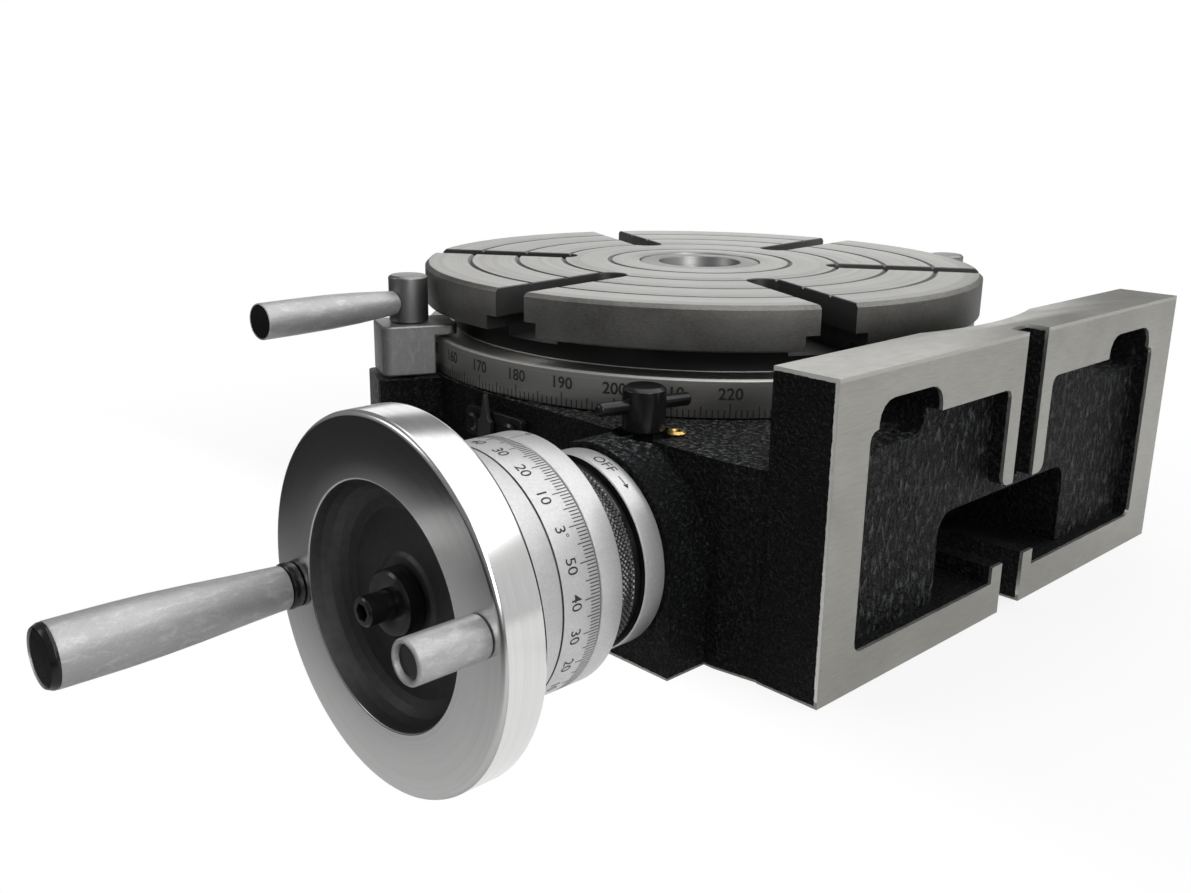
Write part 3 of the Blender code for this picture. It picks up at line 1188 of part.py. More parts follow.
def dial_ring(materials, axis):
    """The dial, which slips on its hub to be set to zero."""
    scale_front = DIAL_BACK + DIAL_SCALE_WIDTH
    groove = 0.4 * MM
    profile = [
        (DIAL_HUB_RADIUS + GAP, DIAL_FRONT),
        (DIAL_RADIUS - DIAL_CHAMFER, DIAL_FRONT),
        (DIAL_RADIUS, DIAL_FRONT - DIAL_CHAMFER),
        (DIAL_RADIUS, scale_front + groove),
        (DIAL_RADIUS - groove, scale_front),
        (DIAL_RADIUS, scale_front - groove),
        (DIAL_RADIUS, DIAL_BACK + DIAL_CHAMFER),
        (DIAL_RADIUS - DIAL_CHAMFER, DIAL_BACK),
        (DIAL_HUB_RADIUS + GAP, DIAL_BACK),
    ]
    body = turned("dial_ring", profile, 40, PARTS, materials["satin_chrome"])
    smooth_by_angle(place(body, (CENTRE_DISTANCE, 0.0, AXIS_Z), axis, FORWARD))


# Clamps and lock screw


def clamp_jaw(materials, number, angle, axis):
    """The clamp block beside the table, with the nose that presses on the graduated flange."""
    half = JAW_WIDTH / 2
    block = rounded(rectangle(JAW_INNER, JAW_OUTER, -half, half), [0, JAW_CORNER, JAW_CORNER, 0], 4)
    jaw = plate(f"clamp_jaw_{number}", block, JAW_BOTTOM_Z, JAW_TOP_Z, PARTS, materials["cast_steel"])
    place(jaw, (0.0, 0.0, 0.0), axis, (0.0, 0.0, angle))
    inner = JAW_INNER - NOSE_REACH
    nose = rounded(rectangle(inner, JAW_INNER + 4 * OVER, -half, half), [JAW_CORNER, 0, 0, JAW_CORNER], 4)
    tool = plate(f"clamp_nose_{number}", nose, JAW_TOP_Z - NOSE_THICKNESS, JAW_TOP_Z, CUTTERS)
    join(jaw, place(tool, (0.0, 0.0, 0.0), axis, (0.0, 0.0, angle)))
    spot = (*polar(CLAMP_RADIUS, angle), 0.0)
    cut(jaw, drill(f"jaw_hole_{number}", STUD_RADIUS + GAP, JAW_BOTTOM_Z - OVER, JAW_TOP_Z + OVER, spot, axis,
                   segments=18))
    smooth_by_angle(jaw)


def clamp_stud(materials, number, angle):
    low = LUG_TOP_Z - STUD_DEPTH
    high = JAW_TOP_Z + LEVER_HEAD_HEIGHT - LEVER_CAP - LEVER_TRAVEL
    stud = turned(f"clamp_stud_{number}", rod(STUD_RADIUS, low, high), 16, PARTS, materials["tool_steel"])
    smooth_by_angle(place(stud, (*polar(CLAMP_RADIUS, angle), 0.0)))


def clamp_lever(materials, number, angle, lever_angle, axis):
    """The lever: a round head threaded on the stud, a tapered handle and its black tip."""
    spot = (*polar(CLAMP_RADIUS, angle), 0.0)
    low = JAW_TOP_Z + GAP
    high = low + LEVER_HEAD_HEIGHT
    head = turned(f"lever_head_{number}", rod(LEVER_HEAD_RADIUS, low, high, 0.4 * MM), 20,
                  PARTS, materials["tool_steel"])
    place(head, spot, axis)
    blind = JAW_TOP_Z + LEVER_HEAD_HEIGHT - LEVER_CAP
    cut(head, drill(f"lever_thread_{number}", STUD_RADIUS + GAP, low - OVER, blind, spot, axis, segments=18))
    out = (0.0, math.pi / 2, lever_angle)
    start = (spot[0], spot[1], LEVER_HANDLE_Z)
    spigot = LEVER_ROOT_RADIUS - 0.8 * MM
    root = LEVER_HEAD_RADIUS - 1.2 * MM
    shoulder = LEVER_HEAD_RADIUS + GAP
    cut(head, drill(f"lever_socket_{number}", spigot + GAP, root - GAP, LEVER_HEAD_RADIUS + OVER, start, axis,
                    out, 14))
    smooth_by_angle(head)
    tip = LEVER_LENGTH - LEVER_TIP
    profile = [
        (0.0, tip),
        (LEVER_RADIUS, tip),
        (LEVER_RADIUS * 0.98, LEVER_LENGTH * 0.55),
        (LEVER_RADIUS * 0.86, LEVER_LENGTH * 0.33),
        (LEVER_ROOT_RADIUS, shoulder),
        (spigot, shoulder),
        (spigot, root),
        (0.0, root),
    ]
    handle = turned(f"lever_handle_{number}", profile, 18, PARTS, materials["cast_steel"])
    smooth_by_angle(place(handle, start, axis, out))
    cap = [
        (0.0, LEVER_LENGTH),
        (LEVER_RADIUS - 0.7 * MM, LEVER_LENGTH),
        (LEVER_RADIUS, LEVER_LENGTH - 0.7 * MM),
        (LEVER_RADIUS, tip + GAP),
        (0.0, tip + GAP),
    ]
    smooth_by_angle(place(turned(f"lever_tip_{number}", cap, 18, PARTS, materials["black_oxide"]),
                          start, axis, out))


def lock_screw(materials, axis):
    """The tee screw that locks the eccentric sleeve, with its cross bar."""
    spot = (SLEEVE_X, -LOCK_FORWARD, 0.0)
    top = LOCK_HEAD_Z + LOCK_HEAD_HEIGHT
    bottom = AXIS_Z + SLEEVE_RADIUS + 2 * GAP
    profile = [
        (0.0, top),
        (LOCK_HEAD_RADIUS - 0.8 * MM, top),
        (LOCK_HEAD_RADIUS, top - 0.8 * MM),
        (LOCK_HEAD_RADIUS, LOCK_HEAD_Z),
        (LOCK_STEM_RADIUS, LOCK_HEAD_Z),
        (LOCK_STEM_RADIUS, bottom),
        (0.0, bottom),
    ]
    screw = turned("lock_screw", profile, 20, PARTS, materials["black_oxide"])
    place(screw, spot, axis)
    across = (0.0, math.pi / 2, LOCK_BAR_ANGLE)
    middle = (spot[0], spot[1], LOCK_BAR_Z)
    reach = LOCK_HEAD_RADIUS + OVER
    cut(screw, drill("lock_cross_hole", LOCK_BAR_RADIUS + GAP, -reach, reach, middle, axis, across, 14))
    smooth_by_angle(screw)
    half = LOCK_BAR_LENGTH / 2
    bar = turned("lock_bar", rod(LOCK_BAR_RADIUS, -half, half, 0.5 * MM), 14, PARTS, materials["black_oxide"])
    smooth_by_angle(place(bar, middle, axis, across))


def build():
    clear_scene()
    materials = make_materials()
    table_axis = axis_empty("table_axis", (0.0, 0.0, 0.0))
    sleeve_axis = axis_empty("sleeve_axis", (SLEEVE_X, 0.0, AXIS_Z))
    worm_axis = axis_empty("worm_axis", (CENTRE_DISTANCE, 0.0, AXIS_Z), sleeve_axis)
    dial_axis = axis_empty("dial_axis", (CENTRE_DISTANCE, 0.0, AXIS_Z), worm_axis)
    long_axis = axis_empty("long_grip_axis", handle_place(LONG_HANDLE_ANGLE), worm_axis)
    short_axis = axis_empty("short_grip_axis", handle_place(SHORT_HANDLE_ANGLE), worm_axis)
    lock_axis = axis_empty("lock_axis", (SLEEVE_X, -LOCK_FORWARD, 0.0))

    base_casting(materials)
    spindle_seat(materials)
    index(materials)
    oiler(materials)
    off_ring(materials)

    table_top(materials, table_axis)
    taper_socket(materials, table_axis)
    spindle(materials, table_axis)
    worm_wheel(materials, table_axis)

    eccentric_sleeve(materials, sleeve_axis)
    worm_shaft(materials, worm_axis)
    handwheel(materials, worm_axis)
    dial_ring(materials, dial_axis)
    long_handle(materials, worm_axis, long_axis)
    short_handle(materials, worm_axis, short_axis)

    for number, (angle, lever_angle) in enumerate(zip(CLAMP_ANGLES, LEVER_ANGLES), 1):
        spot = (*polar(CLAMP_RADIUS, angle), 0.0)
        jaw_axis = axis_empty(f"jaw_axis_{number}", spot)
        lever_axis = axis_empty(f"lever_axis_{number}", spot, jaw_axis)
        clamp_stud(materials, number, angle)
        clamp_jaw(materials, number, angle, jaw_axis)
        clamp_lever(materials, number, angle, lever_angle, lever_axis)
    lock_screw(materials, lock_axis)


build()
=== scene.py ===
"""Looks of the horizontal-vertical rotary table: finishes, engraving, knurl, light and camera."""

import json
import math

import bmesh
import bpy
from mathutils import Matrix, Vector


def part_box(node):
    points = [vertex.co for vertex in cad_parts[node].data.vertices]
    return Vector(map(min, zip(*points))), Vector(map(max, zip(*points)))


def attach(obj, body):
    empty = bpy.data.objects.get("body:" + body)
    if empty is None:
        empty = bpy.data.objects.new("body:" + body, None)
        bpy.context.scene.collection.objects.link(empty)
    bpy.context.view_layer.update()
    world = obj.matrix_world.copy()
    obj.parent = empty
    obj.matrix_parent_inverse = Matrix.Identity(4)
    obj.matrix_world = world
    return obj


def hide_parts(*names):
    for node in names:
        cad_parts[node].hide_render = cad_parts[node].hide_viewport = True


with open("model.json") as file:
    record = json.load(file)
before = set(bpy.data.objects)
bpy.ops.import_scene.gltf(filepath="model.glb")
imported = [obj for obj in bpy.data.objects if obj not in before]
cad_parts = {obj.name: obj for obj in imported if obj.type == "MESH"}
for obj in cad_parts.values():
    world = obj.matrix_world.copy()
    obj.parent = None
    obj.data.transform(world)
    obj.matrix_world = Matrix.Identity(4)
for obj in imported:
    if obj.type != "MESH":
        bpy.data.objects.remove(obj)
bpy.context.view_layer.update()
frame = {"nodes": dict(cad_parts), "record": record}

MM = 0.001
FULL_TURN = 2 * math.pi
HALF_PI = math.pi / 2
PHOTO_WIDTH = 1191
FOCAL_PIXELS = 1210.24
SENSOR = 36.0

# Sizes read from the frame
TABLE_LOW, TABLE_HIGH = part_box("table_top")
TABLE_RADIUS = TABLE_HIGH.x
TABLE_TOP = TABLE_HIGH.z
SOCKET_LOW, SOCKET_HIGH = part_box("taper_socket")
_, BASE_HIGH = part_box("base_casting")
DIAL_LOW, DIAL_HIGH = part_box("dial_ring")
ZERO_LOW, ZERO_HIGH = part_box("zero_ring")
GRIP_RING_LOW, GRIP_RING_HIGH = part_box("turning_ring")
OFF_LOW, OFF_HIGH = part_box("off_ring")
WHEEL_LOW, WHEEL_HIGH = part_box("handwheel")

# Sizes of what is worked into the surfaces
RING_GROOVES = [33 * MM, 50 * MM, 67 * MM, 84 * MM]
RING_GROOVE_HALF = 0.9 * MM  # also its depth
BASE_Z = 60 * MM  # the painted ledge round the table
RECESS_DEPTH = 5 * MM
DISC_THICKNESS = 13.7 * MM
DISC_CHAMFER = 1.2 * MM
FLANGE_CHAMFER = 0.7 * MM
NECK_RADIUS = 90 * MM
FLANGE_TOP = 72.3 * MM
SLOT_ANGLE = math.radians(-23.9)
SLOT_HALF = 6 * MM
SLOT_HEAD_HALF = 10.5 * MM
SLOT_INNER_RADIUS = 46 * MM
SLOT_NECK_HEIGHT = 9 * MM
SLOT_HEAD_HEIGHT = 8 * MM
SCALE_ZERO = math.radians(-262.4)
OFF_WORD_ANGLE = math.radians(17)
OFF_ARROW_ANGLE = math.radians(33.5)
DIAL_READING_ANGLE = math.radians(55.5)
DIAL_READING = 180
DIAL_MINUTES = 240
EDGE_START = 0.06 * MM  # how far under a ground face its eased edge begins
SLEEVE_X = 66.5 * MM  # axis of the eccentric sleeve, off the worm's own
SLEEVE_BORE = 19.3 * MM
LEVER_Z = 84 * MM
LEVER_ANGLES = (math.radians(-86), math.radians(150))
SHARP = 32  # degrees from which an edge stays sharp
BENCH_TOP = -0.2 * MM
BENCH_EDGE_Y = -116.5 * MM


# Geometry helpers


def limit_corner(before, corner, after, radius):
    """The two ends and the centre of the largest allowed round at a profile's corner."""
    back = before - corner
    ahead = after - corner
    if back.length < 1e-9 or ahead.length < 1e-9:
        return None
    cosine = max(-1.0, min(1.0, back.normalized().dot(ahead.normalized())))
    half = math.acos(cosine) / 2
    if half > math.radians(86) or half < math.radians(3):
        return None
    reach = min(radius / math.tan(half), 0.45 * back.length, 0.45 * ahead.length)
    size = reach * math.tan(half)
    middle = (back.normalized() + ahead.normalized()).normalized()
    centre = corner + middle * (size / math.sin(half))
    return corner + back.normalized() * reach, corner + ahead.normalized() * reach, centre


def soften(profile, radius, steps):
    """A profile with its corners rounded; the points keep their finish number."""
    soft = []
    count = len(profile)
    closed = profile[0][0] > 0 or profile[-1][0] > 0
    for i, (r, z, finish) in enumerate(profile):
        if not closed and i in (0, count - 1):
            soft.append((r, z, finish))
            continue
        corner = Vector((r, z))
        before = Vector(profile[i - 1][:2])
        after = Vector(profile[(i + 1) % count][:2])
        found = limit_corner(before, corner, after, radius)
        if found is None:
            soft.append((r, z, finish))
            continue
        first, last, centre = found
        start = first - centre
        end = last - centre
        turn = math.atan2(start.x * end.y - start.y * end.x, start.dot(end))
        for step in range(steps + 1):
            angle = turn * step / steps
            spoke = Vector((
                start.x * math.cos(angle) - start.y * math.sin(angle),
                start.x * math.sin(angle) + start.y * math.cos(angle),
            ))
            soft.append(((centre + spoke).x, (centre + spoke).y, finish))
    return soft


def profile_of(points):
    """Gives each point of a profile the finish of the stretch that starts there."""
    finish = 0
    result = []
    for point in points:
        if len(point) == 3:
            finish = point[2]
        result.append((point[0], point[1], finish))
    return result


def mesh_from(name, shape):
    """The mesh of a finished shape."""
    mesh = bpy.data.meshes.new(name)
    shape.to_mesh(mesh)
    shape.free()
    return mesh


def linked(name, data):
    """A new object in the scene."""
    thing = bpy.data.objects.new(name, data)
    bpy.context.scene.collection.objects.link(thing)
    return thing


def new_piece(name, mesh, finishes, place=None, sharp=SHARP):
    """An object from a mesh, with its materials and its place."""
    for finish in finishes:
        mesh.materials.append(finish)
    mesh.shade_smooth()
    mesh.set_sharp_from_angle(angle=math.radians(sharp))
    piece = linked(name, mesh)
    if place is not None:
        piece.matrix_world = place
    return piece


def turned_mesh(name, points, segments, round_by, steps):
    """A turned solid about its own Z. The profile runs from the top down the outer side."""
    profile = profile_of(points)
    if round_by > 0:
        profile = soften(profile, round_by, steps)
    shape = bmesh.new()
    rings = []
    for radius, height, _ in profile:
        if radius <= 0:
            rings.append([shape.verts.new((0.0, 0.0, height))])
            continue
        angles = [FULL_TURN * i / segments for i in range(segments)]
        spots = [(radius * math.cos(a), radius * math.sin(a), height) for a in angles]
        rings.append([shape.verts.new(spot) for spot in spots])
    closed = profile[0][0] > 0 or profile[-1][0] > 0
    last = len(rings) if closed else len(rings) - 1
    for k in range(last):
        upper = rings[k]
        lower = rings[(k + 1) % len(rings)]
        for i in range(segments):
            j = (i + 1) % segments
            corners = [upper[i % len(upper)], upper[j % len(upper)]]
            corners += [lower[j % len(lower)], lower[i % len(lower)]]
            corners = list(dict.fromkeys(corners))
            if len(corners) >= 3:
                face = shape.faces.new(corners)
                face.material_index = profile[k][2]
    bmesh.ops.recalc_face_normals(shape, faces=shape.faces)
    return mesh_from(name, shape)


def turned(name, points, finishes, place=None, segments=160, round_by=0.25 * MM, steps=3):
    """A turned piece in its place."""
    return new_piece(name, turned_mesh(name, points, segments, round_by, steps), finishes, place)


def along(origin, direction):
    """The place of a turned piece whose own Z points along a direction."""
    direction = Vector(direction).normalized()
    return Matrix.Translation(origin) @ direction.to_track_quat("Z", "Y").to_matrix().to_4x4()


def forward(x, z):
    """The place of a piece about a horizontal axis whose own Z points to the front, -Y."""
    return Matrix.Translation((x, 0.0, z)) @ Matrix.Rotation(HALF_PI, 4, "X")


def upright(low, high):
    """Place and radius of a turned piece about a vertical axis, from its box."""
    middle = (low + high) / 2
    return Matrix.Translation((middle.x, middle.y, 0.0)), (high.x - low.x) / 2


def lofted(name, loops, finish=0):
    """A closed solid between flat outlines of equal length; each loop is (points, height)."""
    shape = bmesh.new()
    rings = [[shape.verts.new((x, y, height)) for x, y in points] for points, height in loops]
    for lower, upper in zip(rings, rings[1:]):
        for i in range(len(lower)):
            j = (i + 1) % len(lower)
            shape.faces.new((lower[i], lower[j], upper[j], upper[i]))
    shape.faces.new(rings[0])
    shape.faces.new(rings[-1])
    for face in shape.faces:
        face.material_index = finish
    bmesh.ops.recalc_face_normals(shape, faces=shape.faces)
    return linked(name, mesh_from(name, shape))


def carve(piece, tools):
    """Cuts the tools from a piece, applies the result and removes the tools."""
    for tool in tools:
        modifier = piece.modifiers.new(tool.name, "BOOLEAN")
        modifier.operation = "DIFFERENCE"
        modifier.solver = "EXACT"
        modifier.object = tool
    graph = bpy.context.evaluated_depsgraph_get()
    mesh = bpy.data.meshes.new_from_object(piece.evaluated_get(graph))
    mesh.name = piece.name
    old = piece.data
    piece.modifiers.clear()
    piece.data = mesh
    bpy.data.meshes.remove(old)
    mesh.shade_smooth()
    mesh.set_sharp_from_angle(angle=math.radians(SHARP))
    for tool in tools:
        bpy.data.objects.remove(tool, do_unlink=True)


def eased(node, name, width, finishes, body, sharp=30):
    """A plain piece's shape with eased edges, standing in its place."""
    source = frame["nodes"][node]
    shape = bmesh.new()
    shape.from_mesh(source.data)
    bmesh.ops.remove_doubles(shape, verts=shape.verts, dist=0.01 * MM)
    flat = math.radians(0.6)
    bmesh.ops.dissolve_limit(shape, angle_limit=flat, verts=shape.verts, edges=shape.edges)
    for face in shape.faces:
        face.material_index = 0
    piece = new_piece(name, mesh_from(name, shape), finishes, sharp=sharp)
    bevel = piece.modifiers.new("eased_edges", "BEVEL")
    bevel.width = width
    bevel.segments = 2
    bevel.limit_method = "ANGLE"
    bevel.angle_limit = math.radians(sharp)
    bevel.use_clamp_overlap = True
    bevel.harden_normals = True
    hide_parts(node)
    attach(piece, body)


class Engraving:
    """Ink-filled marks on a cylinder about a piece's own Z, made as one thin mesh."""

    def __init__(self, name, radius, sense, lift=0.03 * MM):
        self.name = name
        self.radius = radius
        self.sense = sense  # 1: reads counter-clockwise with +Z up, -1: clockwise with -Z up
        self.lift = lift
        self.shape = bmesh.new()

    def point(self, angle, height, across, up):
        """A spot on the cylinder, across and up from a mark's foot."""
        turn = angle + self.sense * across / self.radius
        reach = self.radius + self.lift
        return (reach * math.cos(turn), reach * math.sin(turn), height + self.sense * up)

    def line(self, angle, height, low, high, width):
        """A stroke along the axis, from low to high above a height."""
        half = width / 2
        self.polygon(angle, height, [(-half, low), (half, low), (half, high), (-half, high)])

    def polygon(self, angle, height, corners):
        """A filled outline, its corners given across and up."""
        spots = [self.point(angle, height, across, up) for across, up in corners]
        self.shape.faces.new([self.shape.verts.new(spot) for spot in spots])

    def text(self, words, angle, height, middle, size, weight=0.004):
        """Upright words centred on an angle, middle above a height, size being the figures' height."""
        curve = bpy.data.curves.new("figures", "FONT")
        curve.body = words
        curve.align_x = "CENTER"
        curve.align_y = "CENTER"
        curve.size = size / 0.73
        curve.offset = weight * curve.size
        curve.resolution_u = 4
        holder = linked("figures", curve)
        graph = bpy.context.evaluated_depsgraph_get()
        mesh = bpy.data.meshes.new_from_object(holder.evaluated_get(graph))
        spots = [self.point(angle, height, v.co.x, middle + v.co.y) for v in mesh.vertices]
        corners = [self.shape.verts.new(spot) for spot in spots]
        for polygon in mesh.polygons:
            self.shape.faces.new([corners[i] for i in polygon.vertices])
        bpy.data.objects.remove(holder, do_unlink=True)
        bpy.data.curves.remove(curve)
        bpy.data.meshes.remove(mesh)

    def piece(self, finish, place, body):
        """The finished marks as one piece that rides on a body."""
        piece = new_piece(self.name, mesh_from(self.name, self.shape), [finish], place)
        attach(piece, body)


# Materials


class Graph:
    """A node tree, with short calls for adding to it."""

    def __init__(self, tree):
        self.tree = tree

    def feed(self, socket, value):
        """Sets a socket, or links it where the value is another node's socket."""
        if isinstance(value, bpy.types.NodeSocket):
            self.tree.links.new(value, socket)
        else:
            socket.default_value = value

    def add(self, kind, inputs=None, **settings):
        """A new node; inputs go by their name or number."""
        node = self.tree.nodes.new(kind)
        for key, value in settings.items():
            setattr(node, key, value)
        for key, value in (inputs or {}).items():
            self.feed(node.inputs[key], value)
        return node

    def math(self, operation, first, second=0.0, third=0.0):
        """The result of one sum on sockets or numbers."""
        inputs = {0: first, 1: second, 2: third}
        return self.add("ShaderNodeMath", inputs, operation=operation).outputs[0]

    def weighed(self, *shares):
        """The sum of values, each times its share."""
        total = 0.0
        for value, share in shares:
            total = self.math("MULTIPLY_ADD", value, share, total)
        return total

    def spread(self, value, low, high, to_low=0.0, to_high=1.0):
        """A value's share of the way from low to high, kept within those ends."""
        inputs = {0: value, 1: low, 2: high, 3: to_low, 4: to_high}
        return self.add("ShaderNodeMapRange", inputs).outputs[0]


class Finish(Graph):
    """One procedural material, with short calls for the nodes it is made of."""

    def __init__(self, name, **values):
        self.material = bpy.data.materials.new(name)
        self.material.use_nodes = True
        super().__init__(self.material.node_tree)
        self.shader = self.tree.nodes["Principled BSDF"]
        self.where = self.add("ShaderNodeTexCoord").outputs["Object"]
        for key, value in values.items():
            self.put(key, value)

    def put(self, key, value):
        """Sets or links a socket of the shader; its name is written with underscores."""
        self.feed(self.shader.inputs[key.replace("_", " ")], value)

    def parts(self):
        """Where a spot lies in the piece's own X, Y and Z."""
        split = self.add("ShaderNodeSeparateXYZ", {0: self.where})
        return split.outputs[0], split.outputs[1], split.outputs[2]

    def radius(self):
        """Distance from the piece's own Z axis."""
        x, y, _ = self.parts()
        return self.math("SQRT", self.weighed((x, x), (y, y)))

    def noise(self, scale, detail=2.0, roughness=0.5, stretch=None, distortion=0.0):
        """Cloudy noise over the piece, finer with its scale."""
        where = self.where
        if stretch is not None:
            where = self.add("ShaderNodeMapping", {"Vector": where, "Scale": stretch}).outputs[0]
        inputs = {"Vector": where, "Scale": scale, "Detail": detail, "Roughness": roughness}
        inputs["Distortion"] = distortion
        return self.add("ShaderNodeTexNoise", inputs).outputs[0]

    def lathe(self, scale, detail=3.0):
        """Fine rings on faces across the axis and round the sides, as a cutting tool leaves."""
        _, _, z = self.parts()
        spread = self.math("ADD", self.radius(), z)
        inputs = {"W": spread, "Scale": scale, "Detail": detail, "Roughness": 0.6}
        return self.add("ShaderNodeTexNoise", inputs, noise_dimensions="1D").outputs[0]

    def mix(self, factor, first, second):
        """A colour between two."""
        node = self.add("ShaderNodeMix", {0: factor}, data_type="RGBA")
        self.feed(node.inputs[6], first)
        self.feed(node.inputs[7], second)
        return node.outputs[2]

    def blend(self, factor, first, second):
        """A number between two."""
        node = self.add("ShaderNodeMix", {0: factor}, data_type="FLOAT")
        self.feed(node.inputs[2], first)
        self.feed(node.inputs[3], second)
        return node.outputs[0]

    def bump(self, height, distance, strength=1.0, under=None):
        """Relief from a height, on top of the relief under it."""
        inputs = {"Height": height, "Distance": distance, "Strength": strength}
        if under is not None:
            inputs["Normal"] = under
        return self.add("ShaderNodeBump", inputs).outputs[0]


def grey(value, warmth=0.0):
    """A grey that leans to yellow with its warmth."""
    return (value * (1 + 0.2 * warmth), value, value * (1 - warmth), 1.0)


def paint_parts(f):
    """Colour, roughness and height of the black wrinkle paint."""
    lumps = f.noise(900.0, 3.0, 0.65, distortion=0.3)
    grain = f.noise(1900.0, 2.0, 0.6)
    slow = f.noise(40.0, 2.0)
    height = f.math("ADD", f.spread(lumps, 0.38, 0.64), grain)
    specks = f.weighed((grain, 0.6), (lumps, 0.4), (slow, 0.08))
    # The paint's colour runs from near black in its hollows to dark grey on its ridges and specks:
    # painted shade in the hollows and painted glints on the ridges.
    painted_hollow_shade = (0.001, 0.0012, 0.0014, 1)
    painted_ridge_glint = (0.038, 0.041, 0.043, 1)
    colour = f.mix(f.spread(specks, 0.57, 0.67), painted_hollow_shade, painted_ridge_glint)
    rough = f.spread(specks, 0.45, 0.65, 0.5, 0.24)
    return colour, rough, height


def ground_parts(f, base, stretch, warmth=0.02):
    """Colour, roughness and height of a ground iron face."""
    lines = f.noise(260.0, 3.0, 0.65, stretch)
    stain = f.noise(28.0, 4.0, 0.6, distortion=0.4)
    tone = f.weighed((lines, 0.5), (stain, 0.5))
    dark = grey(base * 0.78, warmth)
    light = grey(base * 1.1, warmth)
    colour = f.mix(f.spread(tone, 0.3, 0.7), dark, light)
    rough = f.spread(tone, 0.3, 0.7, 0.42, 0.3)
    return colour, rough, lines


def casting_finish():
    """Black wrinkle paint with the machined faces left bare."""
    f = Finish("casting_finish")
    x, _, z = f.parts()
    ragged = f.math("MULTIPLY", f.math("SUBTRACT", f.noise(600.0, 2.0), 0.5), 0.0006)
    face_x = BASE_HIGH.x - 1.1 * MM
    top_z = BASE_HIGH.z - 1.1 * MM
    front = f.math("GREATER_THAN", f.math("ADD", x, ragged), face_x)
    top = f.math("GREATER_THAN", f.math("ADD", z, ragged), top_z)
    ground = f.math("LESS_THAN", f.math("ADD", z, ragged), 0.7 * MM)
    bare = f.math("MAXIMUM", front, f.math("MAXIMUM", top, ground))
    paint, paint_rough, paint_height = paint_parts(f)
    facing = f.add("ShaderNodeSeparateXYZ", {0: f.add("ShaderNodeTexCoord").outputs["Normal"]})
    recess = f.math("COMPARE", x, BASE_HIGH.x - RECESS_DEPTH, 1.0 * MM)
    recess = f.math("MULTIPLY", recess, f.math("GREATER_THAN", facing.outputs[0], 0.9))
    folds = f.spread(f.noise(420.0, 3.0, 0.6, (1.0, 1.3, 0.6), 0.5), 0.35, 0.65)
    ledge = f.spread(z, BASE_Z - 5 * MM, BASE_Z - 0.5 * MM)
    ledge = f.math("MULTIPLY", ledge, f.spread(facing.outputs[2], 0.75, 1.0))
    # Specks on the upward-facing ledge round the table and the ridges of the pocket's folds are
    # lightened towards grey: painted glints where light would catch them.
    painted_glint_speckle = f.spread(f.noise(650.0, 3.0, 0.7), 0.5, 0.64)
    ridges = f.math("MULTIPLY", recess, f.spread(folds, 0.5, 1.0, 0.0, 0.4))
    painted_glints = f.math("MAXIMUM", ridges, f.math("MULTIPLY", ledge, painted_glint_speckle))
    paint = f.mix(painted_glints, paint, (0.15, 0.155, 0.16, 1))
    metal, metal_rough, metal_height = ground_parts(f, 0.35, (1.0, 0.7, 14.0), 0.08)
    # The top face's bare metal is mixed lighter than the front face's: painted light, as the top
    # catches more of it.
    metal = f.mix(top, metal, f.mix(metal_height, grey(0.38, 0.07), grey(0.5, 0.07)))
    # The eased edges of the bare faces, away from the ground, are coloured near white: a painted
    # highlight along them.
    below_face = f.math("LESS_THAN", x, BASE_HIGH.x - EDGE_START)
    below_top = f.math("LESS_THAN", z, BASE_HIGH.z - EDGE_START)
    above_ground = f.math("GREATER_THAN", z, 2 * MM)
    edge = f.math("MULTIPLY", below_face, f.math("MULTIPLY", below_top, above_ground))
    metal = f.mix(edge, metal, grey(0.85, 0.04))
    f.put("Base_Color", f.mix(bare, paint, metal))
    f.put("Roughness", f.blend(bare, paint_rough, metal_rough))
    f.put("Metallic", bare)
    painted = f.math("SUBTRACT", 1.0, bare)
    folded = f.bump(folds, 1.8 * MM, f.math("MULTIPLY", painted, recess))
    coarse = f.bump(paint_height, 0.5 * MM, painted, folded)
    f.put("Specular_IOR_Level", 0.12)
    f.put("Normal", f.bump(metal_height, 0.03 * MM, bare, coarse))
    return f.material


def turned_finish(name, base, rough, rings=2600.0, depth=0.015, warmth=0.01, stain=0.18, streak=0.5):
    """Metal turned about the piece's own Z, depth in millimetres."""
    f = Finish(name, Metallic=1.0, Anisotropic=streak)
    lines = f.lathe(rings)
    broad = f.lathe(rings / 9, 2.0)
    patches = f.noise(45.0, 4.0, 0.62, distortion=0.3)
    tone = f.weighed((lines, 0.45), (broad, 0.3), (patches, 0.25))
    light = f.spread(tone, 0.32, 0.68)
    stained = grey(base * (1 - stain), warmth)
    clean = grey(base * (1 + stain / 2), warmth)
    f.put("Base_Color", f.mix(light, stained, clean))
    f.put("Roughness", f.spread(tone, 0.3, 0.7, rough * 1.25, rough * 0.85))
    f.put("Normal", f.bump(f.math("ADD", lines, broad), depth * MM))
    f.put("Tangent", f.add("ShaderNodeTangent", direction_type="RADIAL", axis="Z").outputs[0])
    return f.material


